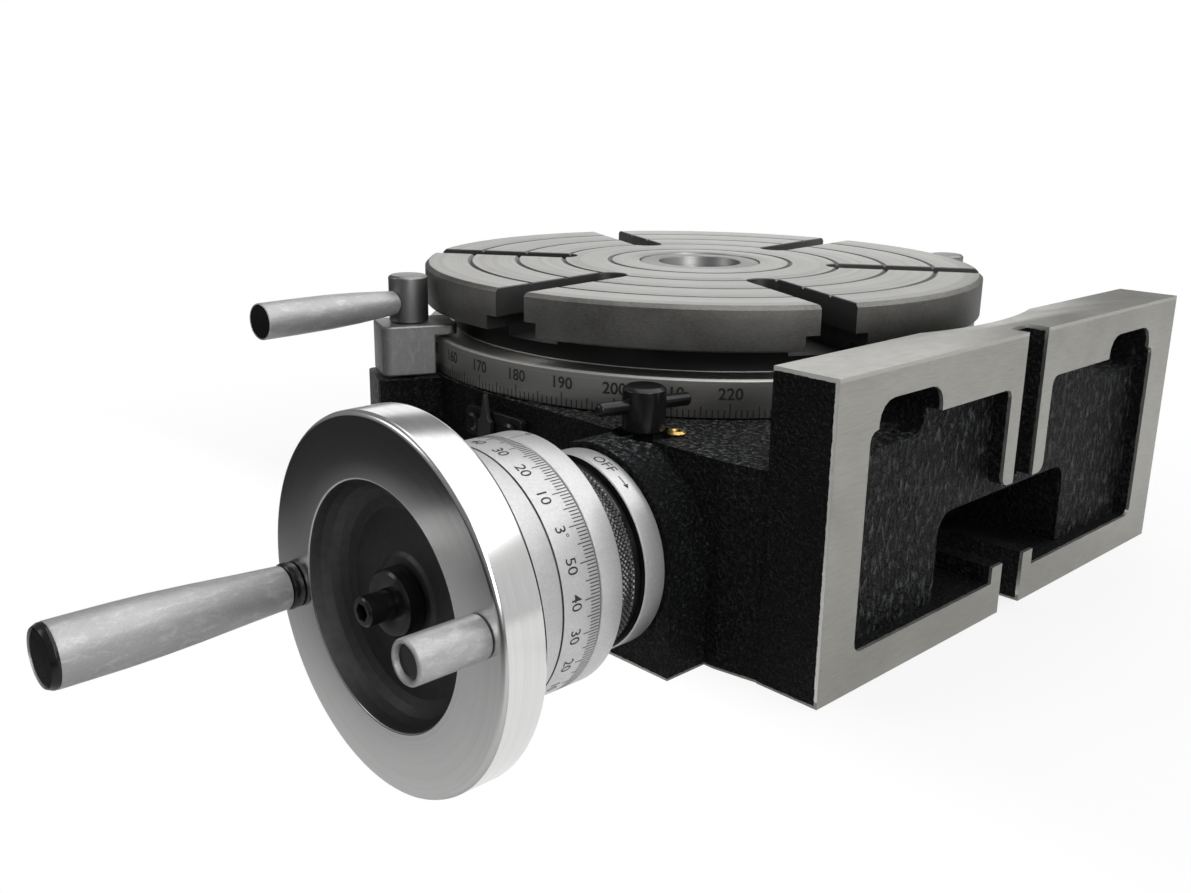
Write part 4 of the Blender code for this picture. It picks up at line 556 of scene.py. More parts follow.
def satin_finish(name, base, rough, grain, depth, warmth=0.0, metallic=1.0, scuffs=0.0):
    """Fine matt metal, blasted or cast, with a share of bright scuff marks along its axis.

    The depth of its grain is in millimetres.
    """
    f = Finish(name, Metallic=metallic)
    fine = f.noise(grain, 3.0, 0.6)
    slow = f.noise(60.0, 3.0, 0.6, distortion=0.3)
    tone = f.weighed((fine, 0.5), (slow, 0.5))
    dark = grey(base * 0.86, warmth)
    light = grey(base * 1.07, warmth)
    colour = f.mix(f.spread(tone, 0.3, 0.7), dark, light)
    if scuffs > 0:
        marks = f.noise(520.0, 6.0, 0.75, (1.0, 1.0, 0.4), 0.5)
        share = f.spread(marks, 0.5, 0.75, 0.0, scuffs)
        colour = f.mix(share, colour, grey(min(1.0, base * 1.7)))
    f.put("Base_Color", colour)
    f.put("Roughness", f.spread(tone, 0.3, 0.7, rough * 1.18, rough * 0.86))
    f.put("Normal", f.bump(fine, depth * MM))
    return f.material


def black_finish(name, base, rough, metallic, gloss=0.5):
    """Black oxide or plastic with faint rubbed patches."""
    f = Finish(name, Metallic=metallic, Specular_IOR_Level=gloss)
    fine = f.noise(1500.0, 3.0, 0.6)
    slow = f.noise(120.0, 3.0, 0.6)
    tone = f.weighed((fine, 0.5), (slow, 0.5))
    f.put("Base_Color", f.mix(f.spread(tone, 0.35, 0.7), grey(base * 0.8), grey(base * 2.4)))
    f.put("Roughness", f.spread(tone, 0.3, 0.7, rough * 1.3, rough * 0.85))
    f.put("Normal", f.bump(fine, 0.01 * MM))
    return f.material


def table_finish():
    """The turned table, with its neck under the disc coloured near black as painted shade."""
    f = Finish("table_steel", Metallic=1.0, Anisotropic=0.35)
    _, _, z = f.parts()
    lines = f.lathe(2300.0)
    broad = f.lathe(240.0, 2.0)
    patches = f.noise(30.0, 4.0, 0.62, distortion=0.5)
    tone = f.weighed((lines, 0.4), (broad, 0.35), (patches, 0.25))
    light = f.spread(tone, 0.32, 0.68)
    # The neck between the disc and the flange, under the disc's overhang, is coloured near black:
    # painted shade.
    below = f.math("LESS_THAN", z, TABLE_TOP - DISC_THICKNESS + 0.2 * MM)
    above = f.math("GREATER_THAN", z, FLANGE_TOP + 0.3 * MM)
    inside = f.math("LESS_THAN", f.radius(), NECK_RADIUS + 0.4 * MM)
    dark = f.math("MULTIPLY", inside, f.math("MULTIPLY", below, above))
    side = f.math("GREATER_THAN", f.radius(), TABLE_RADIUS - 1.5 * MM)
    steel = f.mix(light, grey(0.36, 0.05), grey(0.48, 0.05))
    grain = f.noise(850.0, 3.0, 0.7, (1.0, 1.0, 2.5))
    mottle = f.weighed((patches, 0.65), (grain, 0.35))
    mottled = f.mix(f.spread(mottle, 0.36, 0.64), grey(0.13, 0.06), grey(0.25, 0.06))
    steel = f.mix(side, steel, mottled)
    f.put("Base_Color", f.mix(dark, steel, grey(0.03)))
    rough = f.spread(tone, 0.3, 0.7, 0.46, 0.34)
    f.put("Roughness", f.blend(side, rough, 0.5))
    f.put("Normal", f.bump(f.math("ADD", lines, broad), 0.012 * MM))
    f.put("Tangent", f.add("ShaderNodeTangent", direction_type="RADIAL", axis="Z").outputs[0])
    return f.material


def coloured_finish(name, dark, light, rough):
    """Brass and bronze."""
    f = Finish(name, Metallic=1.0)
    tone = f.noise(500.0, 3.0, 0.6)
    f.put("Base_Color", f.mix(f.spread(tone, 0.3, 0.7), (*dark, 1), (*light, 1)))
    f.put("Roughness", f.spread(tone, 0.3, 0.7, rough * 1.2, rough * 0.8))
    f.put("Normal", f.bump(tone, 0.01 * MM))
    return f.material


def ink_finish():
    """The dark filling of engraved marks."""
    f = Finish("engraving_ink", Metallic=0.0)
    tone = f.noise(2500.0, 2.0)
    f.put("Base_Color", f.mix(f.spread(tone, 0.3, 0.7), grey(0.008), grey(0.03)))
    f.put("Roughness", f.spread(tone, 0.3, 0.7, 0.6, 0.45))
    return f.material


CASTING = casting_finish()
TABLE_STEEL = table_finish()
BORE = turned_finish("bored_steel", 0.3, 0.38)
FLANGE = turned_finish("flange_steel", 0.44, 0.42, 1500.0, 0.01, 0.05, 0.2, 0.3)
# The groove grey is darker than the table's steel: painted shade in the table's ring grooves.
GROOVE = satin_finish("groove_grey", 0.16, 0.5, 900.0, 0.01)
# The slot-wall grey is darker than the table's steel: painted shade on the T-slots' walls and their
# eased top edges.
SLOT_WALL = satin_finish("slot_wall_grey", 0.13, 0.5, 500.0, 0.03, 0.02)
RIM = turned_finish("polished_rim", 0.74, 0.19, 1200.0, 0.001, 0.01, 0.06, 0.3)
DISH = satin_finish("dish_grey", 0.08, 0.52, 420.0, 0.04)
CHROME = satin_finish("satin_chrome", 0.62, 0.46, 1500.0, 0.006, 0.0, 0.8, 0.12)
PEARL = satin_finish("pearl_silver", 0.46, 0.46, 1600.0, 0.015, 0.0, 0.6, 0.6)
CAST_GREY = satin_finish("cast_grey", 0.3, 0.45, 700.0, 0.05, 0.0, 0.85, 0.5)
HEAD_GREY = satin_finish("lever_head_grey", 0.27, 0.4, 1200.0, 0.02)
POINTER_GREY = satin_finish("pointer_steel", 0.1, 0.42, 1200.0, 0.01)
PLATE_GREY = satin_finish("plate_grey", 0.05, 0.42, 900.0, 0.02)
BLACK = black_finish("black_oxide", 0.007, 0.22, 0.25)
KNURL_BLACK = black_finish("knurl_black", 0.045, 0.2, 0.9)
CAP_BLACK = black_finish("cap_black", 0.006, 0.5, 0.0, 0.12)
BRASS = coloured_finish("oiler_brass", (0.5, 0.33, 0.1), (0.75, 0.55, 0.22), 0.25)
BRONZE = coloured_finish("gear_bronze", (0.38, 0.22, 0.08), (0.56, 0.36, 0.15), 0.35)
INK = ink_finish()

SLOT_FINISHES = {
    "black_paint": CASTING,
    "ground_iron": satin_finish("ground_cover", 0.4, 0.4, 700.0, 0.02),
    "polished_steel": RIM,
    "satin_chrome": CHROME,
    "black_oxide": BLACK,
    "cast_steel": CAST_GREY,
    "tool_steel": POINTER_GREY,
    "bronze": BRONZE,
    "brass": BRASS,
}


def finish_nodes():
    """Gives each plain piece the finish of its slot."""
    for entry in frame["record"]["subparts"]:
        node = frame["nodes"][entry["node"]]
        node.data.materials.clear()
        node.data.materials.append(SLOT_FINISHES[entry["material_slot"]])
    # The short handle's pin, at the bottom of the grip's end recess, takes the black finish in place
    # of its slot's, so the recess reads dark.
    frame["nodes"]["short_handle_pin"].data.materials[0] = BLACK


# Table


def slot_outline(half, centre, outer):
    """A slot along X, round at its inner end."""
    sides = 12
    angles = [HALF_PI + math.pi * i / sides for i in range(sides + 1)]
    points = [(centre + half * math.cos(a), half * math.sin(a)) for a in angles]
    return points + [(outer, -half), (outer, half)]


def turn_outline(points, angle):
    """An outline turned about the origin."""
    cosine = math.cos(angle)
    sine = math.sin(angle)
    return [(x * cosine - y * sine, x * sine + y * cosine) for x, y in points]


def table_disc():
    """The table as turned, its T-slots with eased top edges."""
    disc_bottom = TABLE_TOP - DISC_THICKNESS
    inner = SOCKET_HIGH.x + 0.15 * MM
    points = [(inner, TABLE_TOP, 0)]
    # The ring grooves take the darker groove grey as painted shade.
    for radius in RING_GROOVES:
        points += [(radius - RING_GROOVE_HALF, TABLE_TOP, 2)]
        points += [(radius, TABLE_TOP - RING_GROOVE_HALF, 2)]
        points += [(radius + RING_GROOVE_HALF, TABLE_TOP, 0)]
    points += [
        (TABLE_RADIUS - DISC_CHAMFER, TABLE_TOP),
        (TABLE_RADIUS, TABLE_TOP - DISC_CHAMFER),
        (TABLE_RADIUS, disc_bottom + 0.5 * MM),
        (TABLE_RADIUS - 0.5 * MM, disc_bottom),
        (NECK_RADIUS, disc_bottom),
        (NECK_RADIUS, FLANGE_TOP, 1),
        (TABLE_RADIUS - FLANGE_CHAMFER, FLANGE_TOP),
        (TABLE_RADIUS, FLANGE_TOP - FLANGE_CHAMFER),
        (TABLE_RADIUS, TABLE_LOW.z + 0.3 * MM),
        (TABLE_RADIUS - 0.3 * MM, TABLE_LOW.z),
        (inner, TABLE_LOW.z, 0),
    ]
    finishes = [TABLE_STEEL, FLANGE, GROOVE, SLOT_WALL]
    disc = turned("table_disc", points, finishes, None, 256, 0.1 * MM, 2)
    tools = []
    head_top = TABLE_TOP - SLOT_NECK_HEIGHT
    centre = SLOT_INNER_RADIUS + SLOT_HALF
    outer = TABLE_RADIUS + 5 * MM
    # The slots' walls and eased top edges take the darker slot-wall grey as painted shade.
    ease = 0.3 * MM
    for number in range(6):
        angle = SLOT_ANGLE + FULL_TURN * number / 6
        levels = (
            ("neck", SLOT_HALF, head_top - 1 * MM, TABLE_TOP - ease, 0.0),
            ("head", SLOT_HEAD_HALF, head_top - SLOT_HEAD_HEIGHT, head_top, 0.0),
            ("edge", SLOT_HALF, TABLE_TOP - ease, TABLE_TOP + ease, 2 * ease),
        )
        for name, half, low, high, widen in levels:
            lower = turn_outline(slot_outline(half, centre, outer), angle)
            upper = turn_outline(slot_outline(half + widen, centre, outer), angle)
            tools.append(lofted(f"slot_{name}_{number + 1}", [(lower, low), (upper, high)], 3))
    carve(disc, tools)
    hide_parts("table_top")
    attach(disc, "table")


def spindle_socket():
    """The ring in the middle of the table, with the mouth of its bore."""
    top = SOCKET_HIGH.z
    outer = SOCKET_HIGH.x
    bore = [
        (15.0 * MM, top),
        (outer - 0.6 * MM, top),
        (outer, top - 0.6 * MM),
        (outer, SOCKET_LOW.z),
        (10.2 * MM, SOCKET_LOW.z),
        (11.9 * MM, top - 7 * MM),
        (14.0 * MM, top - 6 * MM),
    ]
    socket = turned("spindle_socket", bore, [BORE], None, 128, 0.3 * MM)
    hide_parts("taper_socket")
    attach(socket, "table")


def mark_length(number, tenth, fifth, single):
    """The length of a scale's mark, from three lengths in millimetres."""
    if number % 10 == 0:
        return tenth * MM
    if number % 5 == 0:
        return fifth * MM
    return single * MM


def table_scale():
    """Degree marks and figures on the flange."""
    scale = Engraving("table_scale", TABLE_RADIUS, 1)
    base = TABLE_LOW.z
    for degree in range(360):
        angle = SCALE_ZERO + math.radians(degree)
        scale.line(angle, base, 0.3 * MM, mark_length(degree, 4.6, 3.8, 2.7), 0.4 * MM)
        if degree % 10 == 0:
            scale.text(str(degree), angle, base, 7.4 * MM, 3.7 * MM, 0.022)
    scale.piece(INK, None, "table")


# Worm drive


def ring_place(low, high):
    """Place, radius, back and front of a ring about a horizontal axis, from its box."""
    place = forward((low.x + high.x) / 2, (low.z + high.z) / 2)
    return place, (high.x - low.x) / 2, -high.y, -low.y


def dial():
    """The dial ring with the line round it and its scale in minutes."""
    place, radius, back, front = ring_place(DIAL_LOW, DIAL_HIGH)
    bore = 16.3 * MM
    groove = back + 12.6 * MM
    cut = 0.35 * MM
    points = [
        (bore, front),
        (radius - 0.6 * MM, front),
        (radius, front - 0.6 * MM),
        (radius, groove + cut),
        (radius - cut, groove, 1),
        (radius, groove - cut, 0),
        (radius, back + 0.25 * MM),
        (radius - 0.25 * MM, back),
        (bore, back),
    ]
    ring = turned("minute_dial", points, [CHROME, INK], place, 192, 0.08 * MM, 2)
    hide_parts("dial_ring")
    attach(ring, "dial")

    scale = Engraving("minute_scale", radius, -1, 0.04 * MM)
    for minute in range(DIAL_MINUTES):
        reading = DIAL_READING_ANGLE - FULL_TURN * (minute - DIAL_READING) / DIAL_MINUTES
        angle = HALF_PI - reading
        scale.line(angle, back, -mark_length(minute, 5.4, 4.6, 3.4), -0.35 * MM, 0.27 * MM)
        if minute % 60 == 0:
            scale.text(str(minute // 60), angle, back, -8.3 * MM, 3.3 * MM)
            scale.text("°", angle - 1.75 * MM / radius, back, -7.6 * MM, 2.3 * MM)
        elif minute % 10 == 0:
            scale.text(str(minute % 60), angle, back, -8.3 * MM, 3.3 * MM)
    scale.piece(INK, place, "dial")


def zero_ring():
    """The ring with the zero mark, bored about the sleeve's axis."""
    place, radius, back, front = ring_place(ZERO_LOW, ZERO_HIGH)
    points = [
        (SLEEVE_BORE, front),
        (radius - 0.25 * MM, front),
        (radius, front - 0.25 * MM),
        (radius, back + 0.8 * MM),
        (radius - 0.8 * MM, back),
        (SLEEVE_BORE, back),
    ]
    zero = turned("zero_collar", points, [CHROME], place, 192, 0.1 * MM, 2)
    hole = turned("zero_bore", [
        (0.0, front + 1 * MM),
        (SLEEVE_BORE, front + 1 * MM),
        (SLEEVE_BORE, back - 1 * MM),
        (0.0, back - 1 * MM),
    ], [CHROME], forward(SLEEVE_X, ZERO_LOW.z / 2 + ZERO_HIGH.z / 2), 96, 0.0)
    carve(zero, [hole])
    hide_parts("zero_ring")
    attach(zero, "sleeve")
    mark = Engraving("zero_mark", radius, -1, 0.04 * MM)
    mark.line(HALF_PI, front, 0.35 * MM, 4.5 * MM, 0.25 * MM)
    mark.text("0", HALF_PI, front, 6.2 * MM, 2.4 * MM)
    mark.piece(INK, place, "sleeve")


def off_ring():
    """The ring on the housing with the word OFF and its arrow."""
    place, radius, back, front = ring_place(OFF_LOW, OFF_HIGH)
    points = [
        # The front face is coloured black, darker than the chrome side.
        (SLEEVE_BORE, front, 1),
        (radius - 0.3 * MM, front, 0),
        (radius, front - 0.3 * MM),
        (radius, back + 0.2 * MM),
        (radius - 0.2 * MM, back),
        (SLEEVE_BORE, back),
    ]
    ring = turned("off_collar", points, [CHROME, BLACK], place, 160, 0.1 * MM, 2)
    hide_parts("off_ring")
    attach(ring, "root")
    word = Engraving("off_mark", radius, -1, 0.04 * MM)
    middle = (front + back) / 2
    word.text("OFF", HALF_PI - OFF_WORD_ANGLE, middle, 0.0, 3.3 * MM)
    arrow = HALF_PI - OFF_ARROW_ANGLE
    shaft = 0.16 * MM
    for step in range(6):
        low = (0.55 * step - 2.2) * MM
        high = low + 0.6 * MM
        word.polygon(arrow, middle, [(low, -shaft), (high, -shaft), (high, shaft), (low, shaft)])
    head = 0.9 * MM
    word.polygon(arrow, middle, [(head, -head), (2.4 * MM, 0.0), (head, head)])
    word.piece(INK, place, "root")


def knurled_ring():
    """The ring that turns the eccentric sleeve: a smooth neck and a diamond knurl."""
    place, radius, back, front = ring_place(GRIP_RING_LOW, GRIP_RING_HIGH)
    bore = 19.35 * MM
    neck_radius = radius - 1.1 * MM
    edge = back + 2.4 * MM
    starts = 104
    around = starts * 6
    rows = 20
    depth = 0.5 * MM
    low = edge + 0.3 * MM
    high = front - 0.5 * MM
    pitch = 1.45 * MM
    rings = [
        (bore, back, 0.0),
        (neck_radius, back, 0.0),
        (neck_radius, edge - 0.5 * MM, 0.0),
        (radius - 0.5 * MM, edge, 0.0),
    ]
    rings += [(radius, low + (high - low) * row / rows, 1.0) for row in range(rows + 1)]
    rings += [(radius - 0.5 * MM, front, 0.0), (bore, front, 0.0)]
    shape = bmesh.new()
    loops = []
    for ring_radius, height, cut in rings:
        loop = []
        for i in range(around):
            angle = FULL_TURN * i / around
            lean = height / pitch
            turn = starts * i / around
            ways = [abs((turn + sign * lean) % 1.0 - 0.5) * 2 for sign in (1, -1)]
            groove = max(0.0, 1.0 - min(ways) / 0.62)
            reach = ring_radius - cut * depth * groove
            loop.append(shape.verts.new((reach * math.cos(angle), reach * math.sin(angle), height)))
        loops.append(loop)
    for k in range(len(loops)):
        first = loops[k]
        second = loops[(k + 1) % len(loops)]
        for i in range(around):
            j = (i + 1) % around
            shape.faces.new((first[i], first[j], second[j], second[i]))
    bmesh.ops.recalc_face_normals(shape, faces=shape.faces)
    mesh = mesh_from("knurled_ring", shape)
    piece = new_piece("knurled_ring", mesh, [KNURL_BLACK], place, 40)
    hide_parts("turning_ring")
    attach(piece, "sleeve")


def hand_wheel():
    """The polished handwheel: rounded rim, flat front, dished web."""
    place, radius, _, front = ring_place(WHEEL_LOW, WHEEL_HIGH)
    back = front - 13 * MM
    floor = front - 9.2 * MM
    dish = 32.3 * MM
    bore = 6.3 * MM
    hub_back = -WHEEL_HIGH.y
    points = [
        (bore, floor + 1.0 * MM, 1),
        (11.0 * MM, floor + 1.0 * MM),
        (12.0 * MM, floor + 0.2 * MM),
        (17.0 * MM, floor),
        (dish - 9.0 * MM, floor + 0.15 * MM),
        (dish - 6.0 * MM, floor + 0.8 * MM),
        (dish - 3.8 * MM, floor + 2.1 * MM),
        (dish - 2.2 * MM, floor + 3.9 * MM),
        (dish - 1.1 * MM, floor + 6.2 * MM),
        (dish - 0.4 * MM, front - 0.5 * MM),
        (dish, front, 0),
        (radius - 1.3 * MM, front),
        (radius - 0.35 * MM, front - 0.3 * MM),
        (radius, front - 1.2 * MM),
        (radius, back + 1.2 * MM),
        (radius - 0.35 * MM, back + 0.3 * MM),
        (radius - 1.3 * MM, back),
        (dish + 1.5 * MM, back, 1),
        (dish + 0.5 * MM, floor - 3.2 * MM),
        (13.0 * MM, floor - 3.2 * MM),
        (12.0 * MM, hub_back),
        (bore, hub_back),
    ]
    wheel = turned("dished_handwheel", points, [RIM, DISH], place, 192, 0.9 * MM, 3)
    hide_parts("handwheel")
    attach(wheel, "worm")


def wheel_fittings():
    """Nut and socket screw in the middle of the wheel."""
    place, radius, back, front = ring_place(*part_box("wheel_nut"))
    nut = turned("hub_nut", [
        (4.0 * MM, front),
        (radius - 0.7 * MM, front),
        (radius, front - 0.7 * MM),
        (radius, back),
        (4.0 * MM, back),
    ], [BLACK], place, 96, 0.2 * MM)
    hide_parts("wheel_nut")
    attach(nut, "worm")
    place, radius, back, front = ring_place(*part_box("wheel_screw"))
    screw = turned("hub_socket_screw", [
        (0.0, front),
        (radius - 0.5 * MM, front),
        (radius, front - 0.5 * MM),
        (radius, back),
        (0.0, back),
    ], [BLACK], place, 64, 0.15 * MM)
    reach = 2.45 * MM
    angles = [FULL_TURN * i / 6 for i in range(6)]
    key = [(reach * math.cos(a), reach * math.sin(a)) for a in angles]
    hexagon = lofted("screw_socket", [(key, front - 5 * MM), (key, front + 1 * MM)])
    hexagon.matrix_world = place
    carve(screw, [hexagon])
    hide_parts("wheel_screw")
    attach(screw, "worm")


def long_handle():
    """The long revolving grip, with its end cap and its ferrule."""
    place, radius, back, front = ring_place(*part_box("long_grip"))
    length = front - back
    plug_bore = radius - 0.9 * MM
    pin_bore = 3.3 * MM
    points = [
        (plug_bore, front, 1),
        (radius - 0.8 * MM, front),
        (radius - 0.1 * MM, front - 1.4 * MM),
        (radius - 0.1 * MM, front - 2.2 * MM, 0),
        (radius, front - 2.4 * MM),
    ]
    shares = [(0.86, 1.0), (0.7, 0.995), (0.55, 0.965), (0.4, 0.905)]
    shares += [(0.28, 0.845), (0.16, 0.785), (0.07, 0.745)]
    points += [(radius * size, back + length * share) for share, size in shares]
    points += [
        (radius * 0.715, back),
        (pin_bore, back),
        (pin_bore, front - 7 * MM),
        (5.5 * MM, front - 7 * MM),
        (5.5 * MM, front - 3 * MM),
        (plug_bore, front - 3 * MM),
    ]
    grip = turned("long_grip_body", points, [PEARL, BLACK], place, 96, 0.3 * MM, 2)
    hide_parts("long_grip")
    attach(grip, "long_handle")
    _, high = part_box("long_grip_plug")
    plug_back = -high.y
    plug = turned("long_grip_cap", [
        (0.0, front - 0.25 * MM),
        (plug_bore - 0.9 * MM, front - 0.25 * MM),
        (plug_bore - 0.1 * MM, front - 0.8 * MM),
        (plug_bore - 0.1 * MM, plug_back),
        (0.0, plug_back),
    ], [CAP_BLACK], place, 96, 0.3 * MM)
    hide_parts("long_grip_plug")
    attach(plug, "long_handle")
    place, radius, back, front = ring_place(*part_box("long_grip_collar"))
    collar = turned("long_grip_ferrule", [
        (pin_bore, front),
        (radius - 0.4 * MM, front),
        (radius, front - 0.4 * MM),
        (radius, front - 1.6 * MM, 1),
        (radius - 0.15 * MM, front - 1.8 * MM),
        (radius - 0.15 * MM, back, 0),
        (pin_bore, back),
    ], [BLACK, POINTER_GREY], place, 64, 0.15 * MM)
    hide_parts("long_grip_collar")
    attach(collar, "worm")


def short_handle():
    """The short revolving grip."""
    place, radius, back, front = ring_place(*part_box("short_grip"))
    points = [
        (4.3 * MM, front),
        (radius - 0.4 * MM, front),
        (radius, front - 0.5 * MM),
        (radius, back),
        (2.8 * MM, back),
        (2.8 * MM, front - 4 * MM),
        (4.0 * MM, front - 4 * MM),
    ]
    grip = turned("short_grip_body", points, [PEARL], place, 96, 0.25 * MM, 2)
    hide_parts("short_grip")
    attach(grip, "short_handle")


# Clamps, lock screw and small fittings


def clamps():
    """Clamp levers as turned pieces and eased clamp blocks."""
    for number, lever_angle in enumerate(LEVER_ANGLES, 1):
        body = f"lever_{number}"
        low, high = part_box(f"lever_head_{number}")
        stand, radius = upright(low, high)
        head = turned(f"clamp_head_{number}", [
            (0.0, high.z),
            (radius - 0.9 * MM, high.z),
            (radius, high.z - 0.7 * MM),
            (radius, low.z + 0.3 * MM),
            (radius - 0.3 * MM, low.z),
            (5.2 * MM, low.z),
            (5.2 * MM, high.z - 3.5 * MM),
            (0.0, high.z - 3.5 * MM),
        ], [HEAD_GREY], stand, 96, 0.3 * MM)
        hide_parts(f"lever_head_{number}")
        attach(head, body)
        origin = ((low.x + high.x) / 2, (low.y + high.y) / 2, LEVER_Z)
        place = along(origin, (math.cos(lever_angle), math.sin(lever_angle), 0.0))
        tip = 56 * MM
        end = 58 * MM
        handle = turned(f"clamp_handle_{number}", [
            (0.0, tip),
            (5.25 * MM, tip),
            (5.25 * MM, end),
            (5.5 * MM, end),
            (5.7 * MM, end - 0.3 * MM),
            (5.68 * MM, 45 * MM),
            (5.55 * MM, 33 * MM),
            (5.1 * MM, 22 * MM),
            (4.4 * MM, 12 * MM),
            (4.0 * MM, radius + 0.1 * MM),
            (3.2 * MM, radius + 0.1 * MM),
            (3.2 * MM, radius - 1.2 * MM),
            (0.0, radius - 1.2 * MM),
        ], [PEARL], place, 72, 0.15 * MM)
        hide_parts(f"lever_handle_{number}")
        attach(handle, body)
        cap = turned(f"clamp_handle_end_{number}", [
            (0.0, end - 0.1 * MM),
            (5.2 * MM, end - 0.1 * MM),
            (5.2 * MM, tip + 0.1 * MM),
            (0.0, tip + 0.1 * MM),
        ], [CAP_BLACK], place, 72, 0.15 * MM)
        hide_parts(f"lever_tip_{number}")
        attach(cap, body)
        eased(f"clamp_jaw_{number}", f"clamp_block_{number}", 0.7 * MM, [CAST_GREY], f"clamp_{number}")


def lock_tee():
    """The black tee screw, its head chamfered and its bar rounded at the ends."""
    low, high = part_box("lock_screw")
    stand, radius = upright(low, high)
    head_bottom = high.z - 13 * MM
    screw = turned("tee_screw", [
        (0.0, high.z),
        (radius - 1.3 * MM, high.z),
        (radius, high.z - 0.9 * MM),
        (radius, head_bottom + 0.5 * MM),
        (radius - 0.5 * MM, head_bottom),
        (2.9 * MM, head_bottom),
        (2.9 * MM, low.z),
        (0.0, low.z),
    ], [BLACK], stand, 72, 0.3 * MM)
    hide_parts("lock_screw")
    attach(screw, "lock")
    low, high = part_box("lock_bar")
    angle = math.radians(77)
    lie = along((low + high) / 2, (math.cos(angle), math.sin(angle), 0.0))
    half = 15.5 * MM
    bar = turned("tee_bar", [
        (0.0, half),
        (1.2 * MM, half),
        (2.0 * MM, half - 0.8 * MM),
        (2.0 * MM, -half + 0.8 * MM),
        (1.2 * MM, -half),
        (0.0, -half),
    ], [BLACK], lie, 48, 0.5 * MM)
    hole = turned("tee_hole", [
        (0.0, 8 * MM),
        (2.05 * MM, 8 * MM),
        (2.05 * MM, -8 * MM),
        (0.0, -8 * MM),
    ], [BLACK], lie, 48, 0.0)
    carve(screw, [hole])
    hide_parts("lock_bar")
    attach(bar, "lock")


def oiler():
    """The ball oiler: a flanged cup with its ball."""
    low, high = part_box("oiler")
    cup = turned("ball_oiler", [
        (0.0, BASE_Z + 0.95 * MM),
        (0.55 * MM, BASE_Z + 0.8 * MM),
        (0.85 * MM, BASE_Z + 0.5 * MM, 1),
        (1.05 * MM, BASE_Z + 0.5 * MM, 0),
        (1.4 * MM, BASE_Z + 1.25 * MM),
        (2.3 * MM, BASE_Z + 1.3 * MM),
        (3.0 * MM, BASE_Z + 0.7 * MM),
        (3.0 * MM, BASE_Z + 0.3 * MM),
        (2.4 * MM, BASE_Z + 0.3 * MM),
        (2.4 * MM, low.z),
        (0.0, low.z),
    ], [BRASS, BLACK], upright(low, high)[0], 48, 0.1 * MM, 2)
    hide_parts("oiler")
    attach(cup, "root")


def base():
    """The casting and the index hand on its bracket, with eased edges."""
    eased("base_casting", "base_body", 1.0 * MM, [CASTING], "root", 28)
    eased("index_plate", "index_bracket", 0.3 * MM, [PLATE_GREY], "root")
    eased("index_pointer", "index_hand", 0.15 * MM, [POINTER_GREY], "root")


# Surroundings


def backdrop_finish(name, shade, near_glow, mirrored=0.0):
    """Pale studio surface: white to the camera away from the object, shadowed beside it.

    The share mirrored is how much of that white the object's metal shows as well.
    """
    material = bpy.data.materials.new(name)
    material.use_nodes = True
    graph = Graph(material.node_tree)
    graph.tree.nodes.clear()
    where = graph.add("ShaderNodeNewGeometry").outputs[0]
    flat = graph.add("ShaderNodeVectorMath", {0: where, 1: (1.0, 1.0, 0.0)}, operation="MULTIPLY")

    def away_from(point):
        """Level distance from a point."""
        inputs = {0: flat.outputs[0], 1: point}
        return graph.add("ShaderNodeVectorMath", inputs, operation="DISTANCE").outputs["Value"]

    beside = graph.spread(away_from((0.03, -0.06, 0.0)), 0.15, 0.34, near_glow, 1.0)
    depth = graph.add("ShaderNodeSeparateXYZ", {0: where}).outputs[1]
    before = graph.spread(depth, -0.085, BENCH_EDGE_Y, near_glow, 1.0)
    glow = graph.math("MAXIMUM", beside, before)
    # Away from the object the diffuse colour fades to near black, seen only in the metal's
    # reflections: painted shade that darkens the handwheel's face towards its upper left.
    dim = graph.spread(away_from((0.25, 0.35, 0.0)), 0.68, 1.02, shade, shade * 0.04)
    colour = graph.add("ShaderNodeCombineColor", {0: dim, 1: dim, 2: dim}).outputs[0]
    diffuse = graph.add("ShaderNodeBsdfDiffuse", {"Color": colour}).outputs[0]
    light = graph.add("ShaderNodeEmission", {"Color": (1, 1, 1, 1), "Strength": 1.0}).outputs[0]
    path = graph.add("ShaderNodeLightPath")
    seen = graph.math("MULTIPLY", path.outputs["Is Camera Ray"], glow)
    # Glossy rays see the white glow as well, by the mirrored share: a painted reflection in the metal.
    shown = graph.math("MULTIPLY", path.outputs["Is Glossy Ray"], mirrored)
    share = graph.math("MAXIMUM", seen, shown)
    mixed = graph.add("ShaderNodeMixShader", {0: share, 1: diffuse, 2: light}).outputs[0]
    graph.add("ShaderNodeOutputMaterial", {0: mixed})
    return material


def staged_box(name, low, high, material):
    """A plain box of the surroundings, from its two corners."""
    shape = bmesh.new()
    bmesh.ops.create_cube(shape, size=1.0)
    mesh = mesh_from(name, shape)
    mesh.materials.append(material)
    box = linked(name, mesh)
    box.location = (Vector(low) + Vector(high)) / 2
    box.scale = Vector(high) - Vector(low)


def surroundings():
    """A pale bench under the base, whose edge stops behind the overhanging handwheel."""
    pale = backdrop_finish("pale_bench", 0.8, 0.78)
    # The bench's front edge glows white to glossy rays: a painted reflection that brightens the
    # handwheel's rim.
    edge = backdrop_finish("pale_edge", 0.8, 1.0, 0.9)
    ground = backdrop_finish("pale_floor", 0.63, 0.96)
    lip = BENCH_EDGE_Y - 1 * MM
    staged_box("bench", (-2.5, BENCH_EDGE_Y, -0.12), (2.5, 4.0, BENCH_TOP), pale)
    staged_box("bench_edge", (-2.5, lip, -0.12), (2.5, BENCH_EDGE_Y, BENCH_TOP - 0.1 * MM), edge)
    staged_box("floor", (-3.5, -3.5, -0.16), (3.5, 4.0, -0.12), ground)


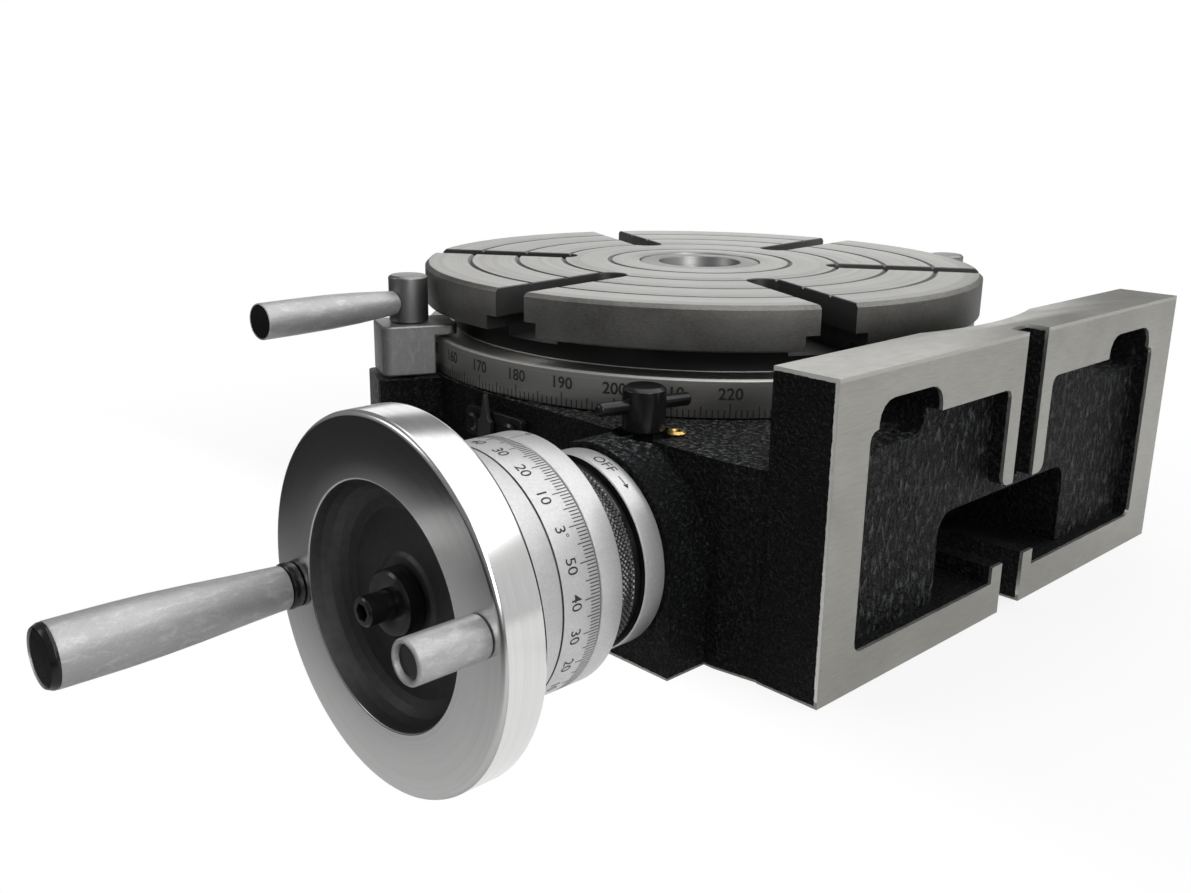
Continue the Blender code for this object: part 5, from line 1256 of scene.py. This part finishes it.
def area_light(name, place, target, size, power):
    """A rectangular lamp that faces its target."""
    lamp = bpy.data.lights.new(name, "AREA")
    lamp.shape = "RECTANGLE"
    lamp.size, lamp.size_y = size
    lamp.energy = power
    holder = linked(name, lamp)
    holder.location = place
    facing = Vector(target) - Vector(place)
    holder.rotation_euler = facing.to_track_quat("-Z", "Y").to_euler()


def lights():
    """A grey studio that looks white to the camera, and five lamps."""
    world = bpy.data.worlds.new("studio")
    bpy.context.scene.world = world
    world.use_nodes = True
    graph = Graph(world.node_tree)
    graph.tree.nodes.clear()
    glow = graph.add("ShaderNodeBackground", {0: (0.5, 0.5, 0.51, 1), 1: 0.4}).outputs[0]
    seen = graph.add("ShaderNodeBackground", {0: (1, 1, 1, 1), 1: 1.0}).outputs[0]
    direct = graph.add("ShaderNodeLightPath").outputs["Is Camera Ray"]
    mixed = graph.add("ShaderNodeMixShader", {0: direct, 1: glow, 2: seen}).outputs[0]
    graph.add("ShaderNodeOutputWorld", {0: mixed})
    area_light("overhead", (0.25, 0.35, 1.3), (0, 0, 0.05), (2.2, 2.0), 20.0)
    area_light("back_left", (-1.5, 1.5, 0.62), (0, 0, 0.06), (1.5, 0.9), 4.4)
    area_light("back_right", (1.45, 1.75, 1.0), (0, 0, 0.06), (3.0, 2.2), 9.5)
    area_light("right_front", (1.3, -0.45, 0.75), (0.1, -0.05, 0.05), (0.6, 1.0), 9.0)
    area_light("left_front", (-0.9, -1.2, 0.9), (0, -0.1, 0.05), (0.6, 0.9), 4.5)


def camera():
    """The photograph's view."""
    place = (296.72 * MM, -335.86 * MM, 152.54 * MM)
    azimuth = math.radians(46.23)
    elevation = math.radians(16.28)
    roll = math.radians(0.82)
    back = Vector((
        math.sin(azimuth) * math.cos(elevation),
        -math.cos(azimuth) * math.cos(elevation),
        math.sin(elevation),
    ))
    level = Vector((math.cos(azimuth), math.sin(azimuth), 0.0))
    rise = back.cross(level)
    right = level * math.cos(roll) + rise * math.sin(roll)
    up = rise * math.cos(roll) - level * math.sin(roll)
    lens = bpy.data.cameras.new("photo_view")
    lens.sensor_width = SENSOR
    lens.lens = FOCAL_PIXELS / PHOTO_WIDTH * SENSOR
    lens.clip_start = 0.01
    holder = linked("photo_view", lens)
    turn = Matrix((right, up, back)).transposed().to_4x4()
    holder.matrix_world = Matrix.Translation(place) @ turn
    bpy.context.scene.camera = holder


finish_nodes()
base()
table_disc()
spindle_socket()
table_scale()
dial()
zero_ring()
off_ring()
knurled_ring()
hand_wheel()
wheel_fittings()
long_handle()
short_handle()
clamps()
lock_tee()
oiler()
surroundings()
lights()
camera()
bpy.context.scene.view_settings.view_transform = "Standard"
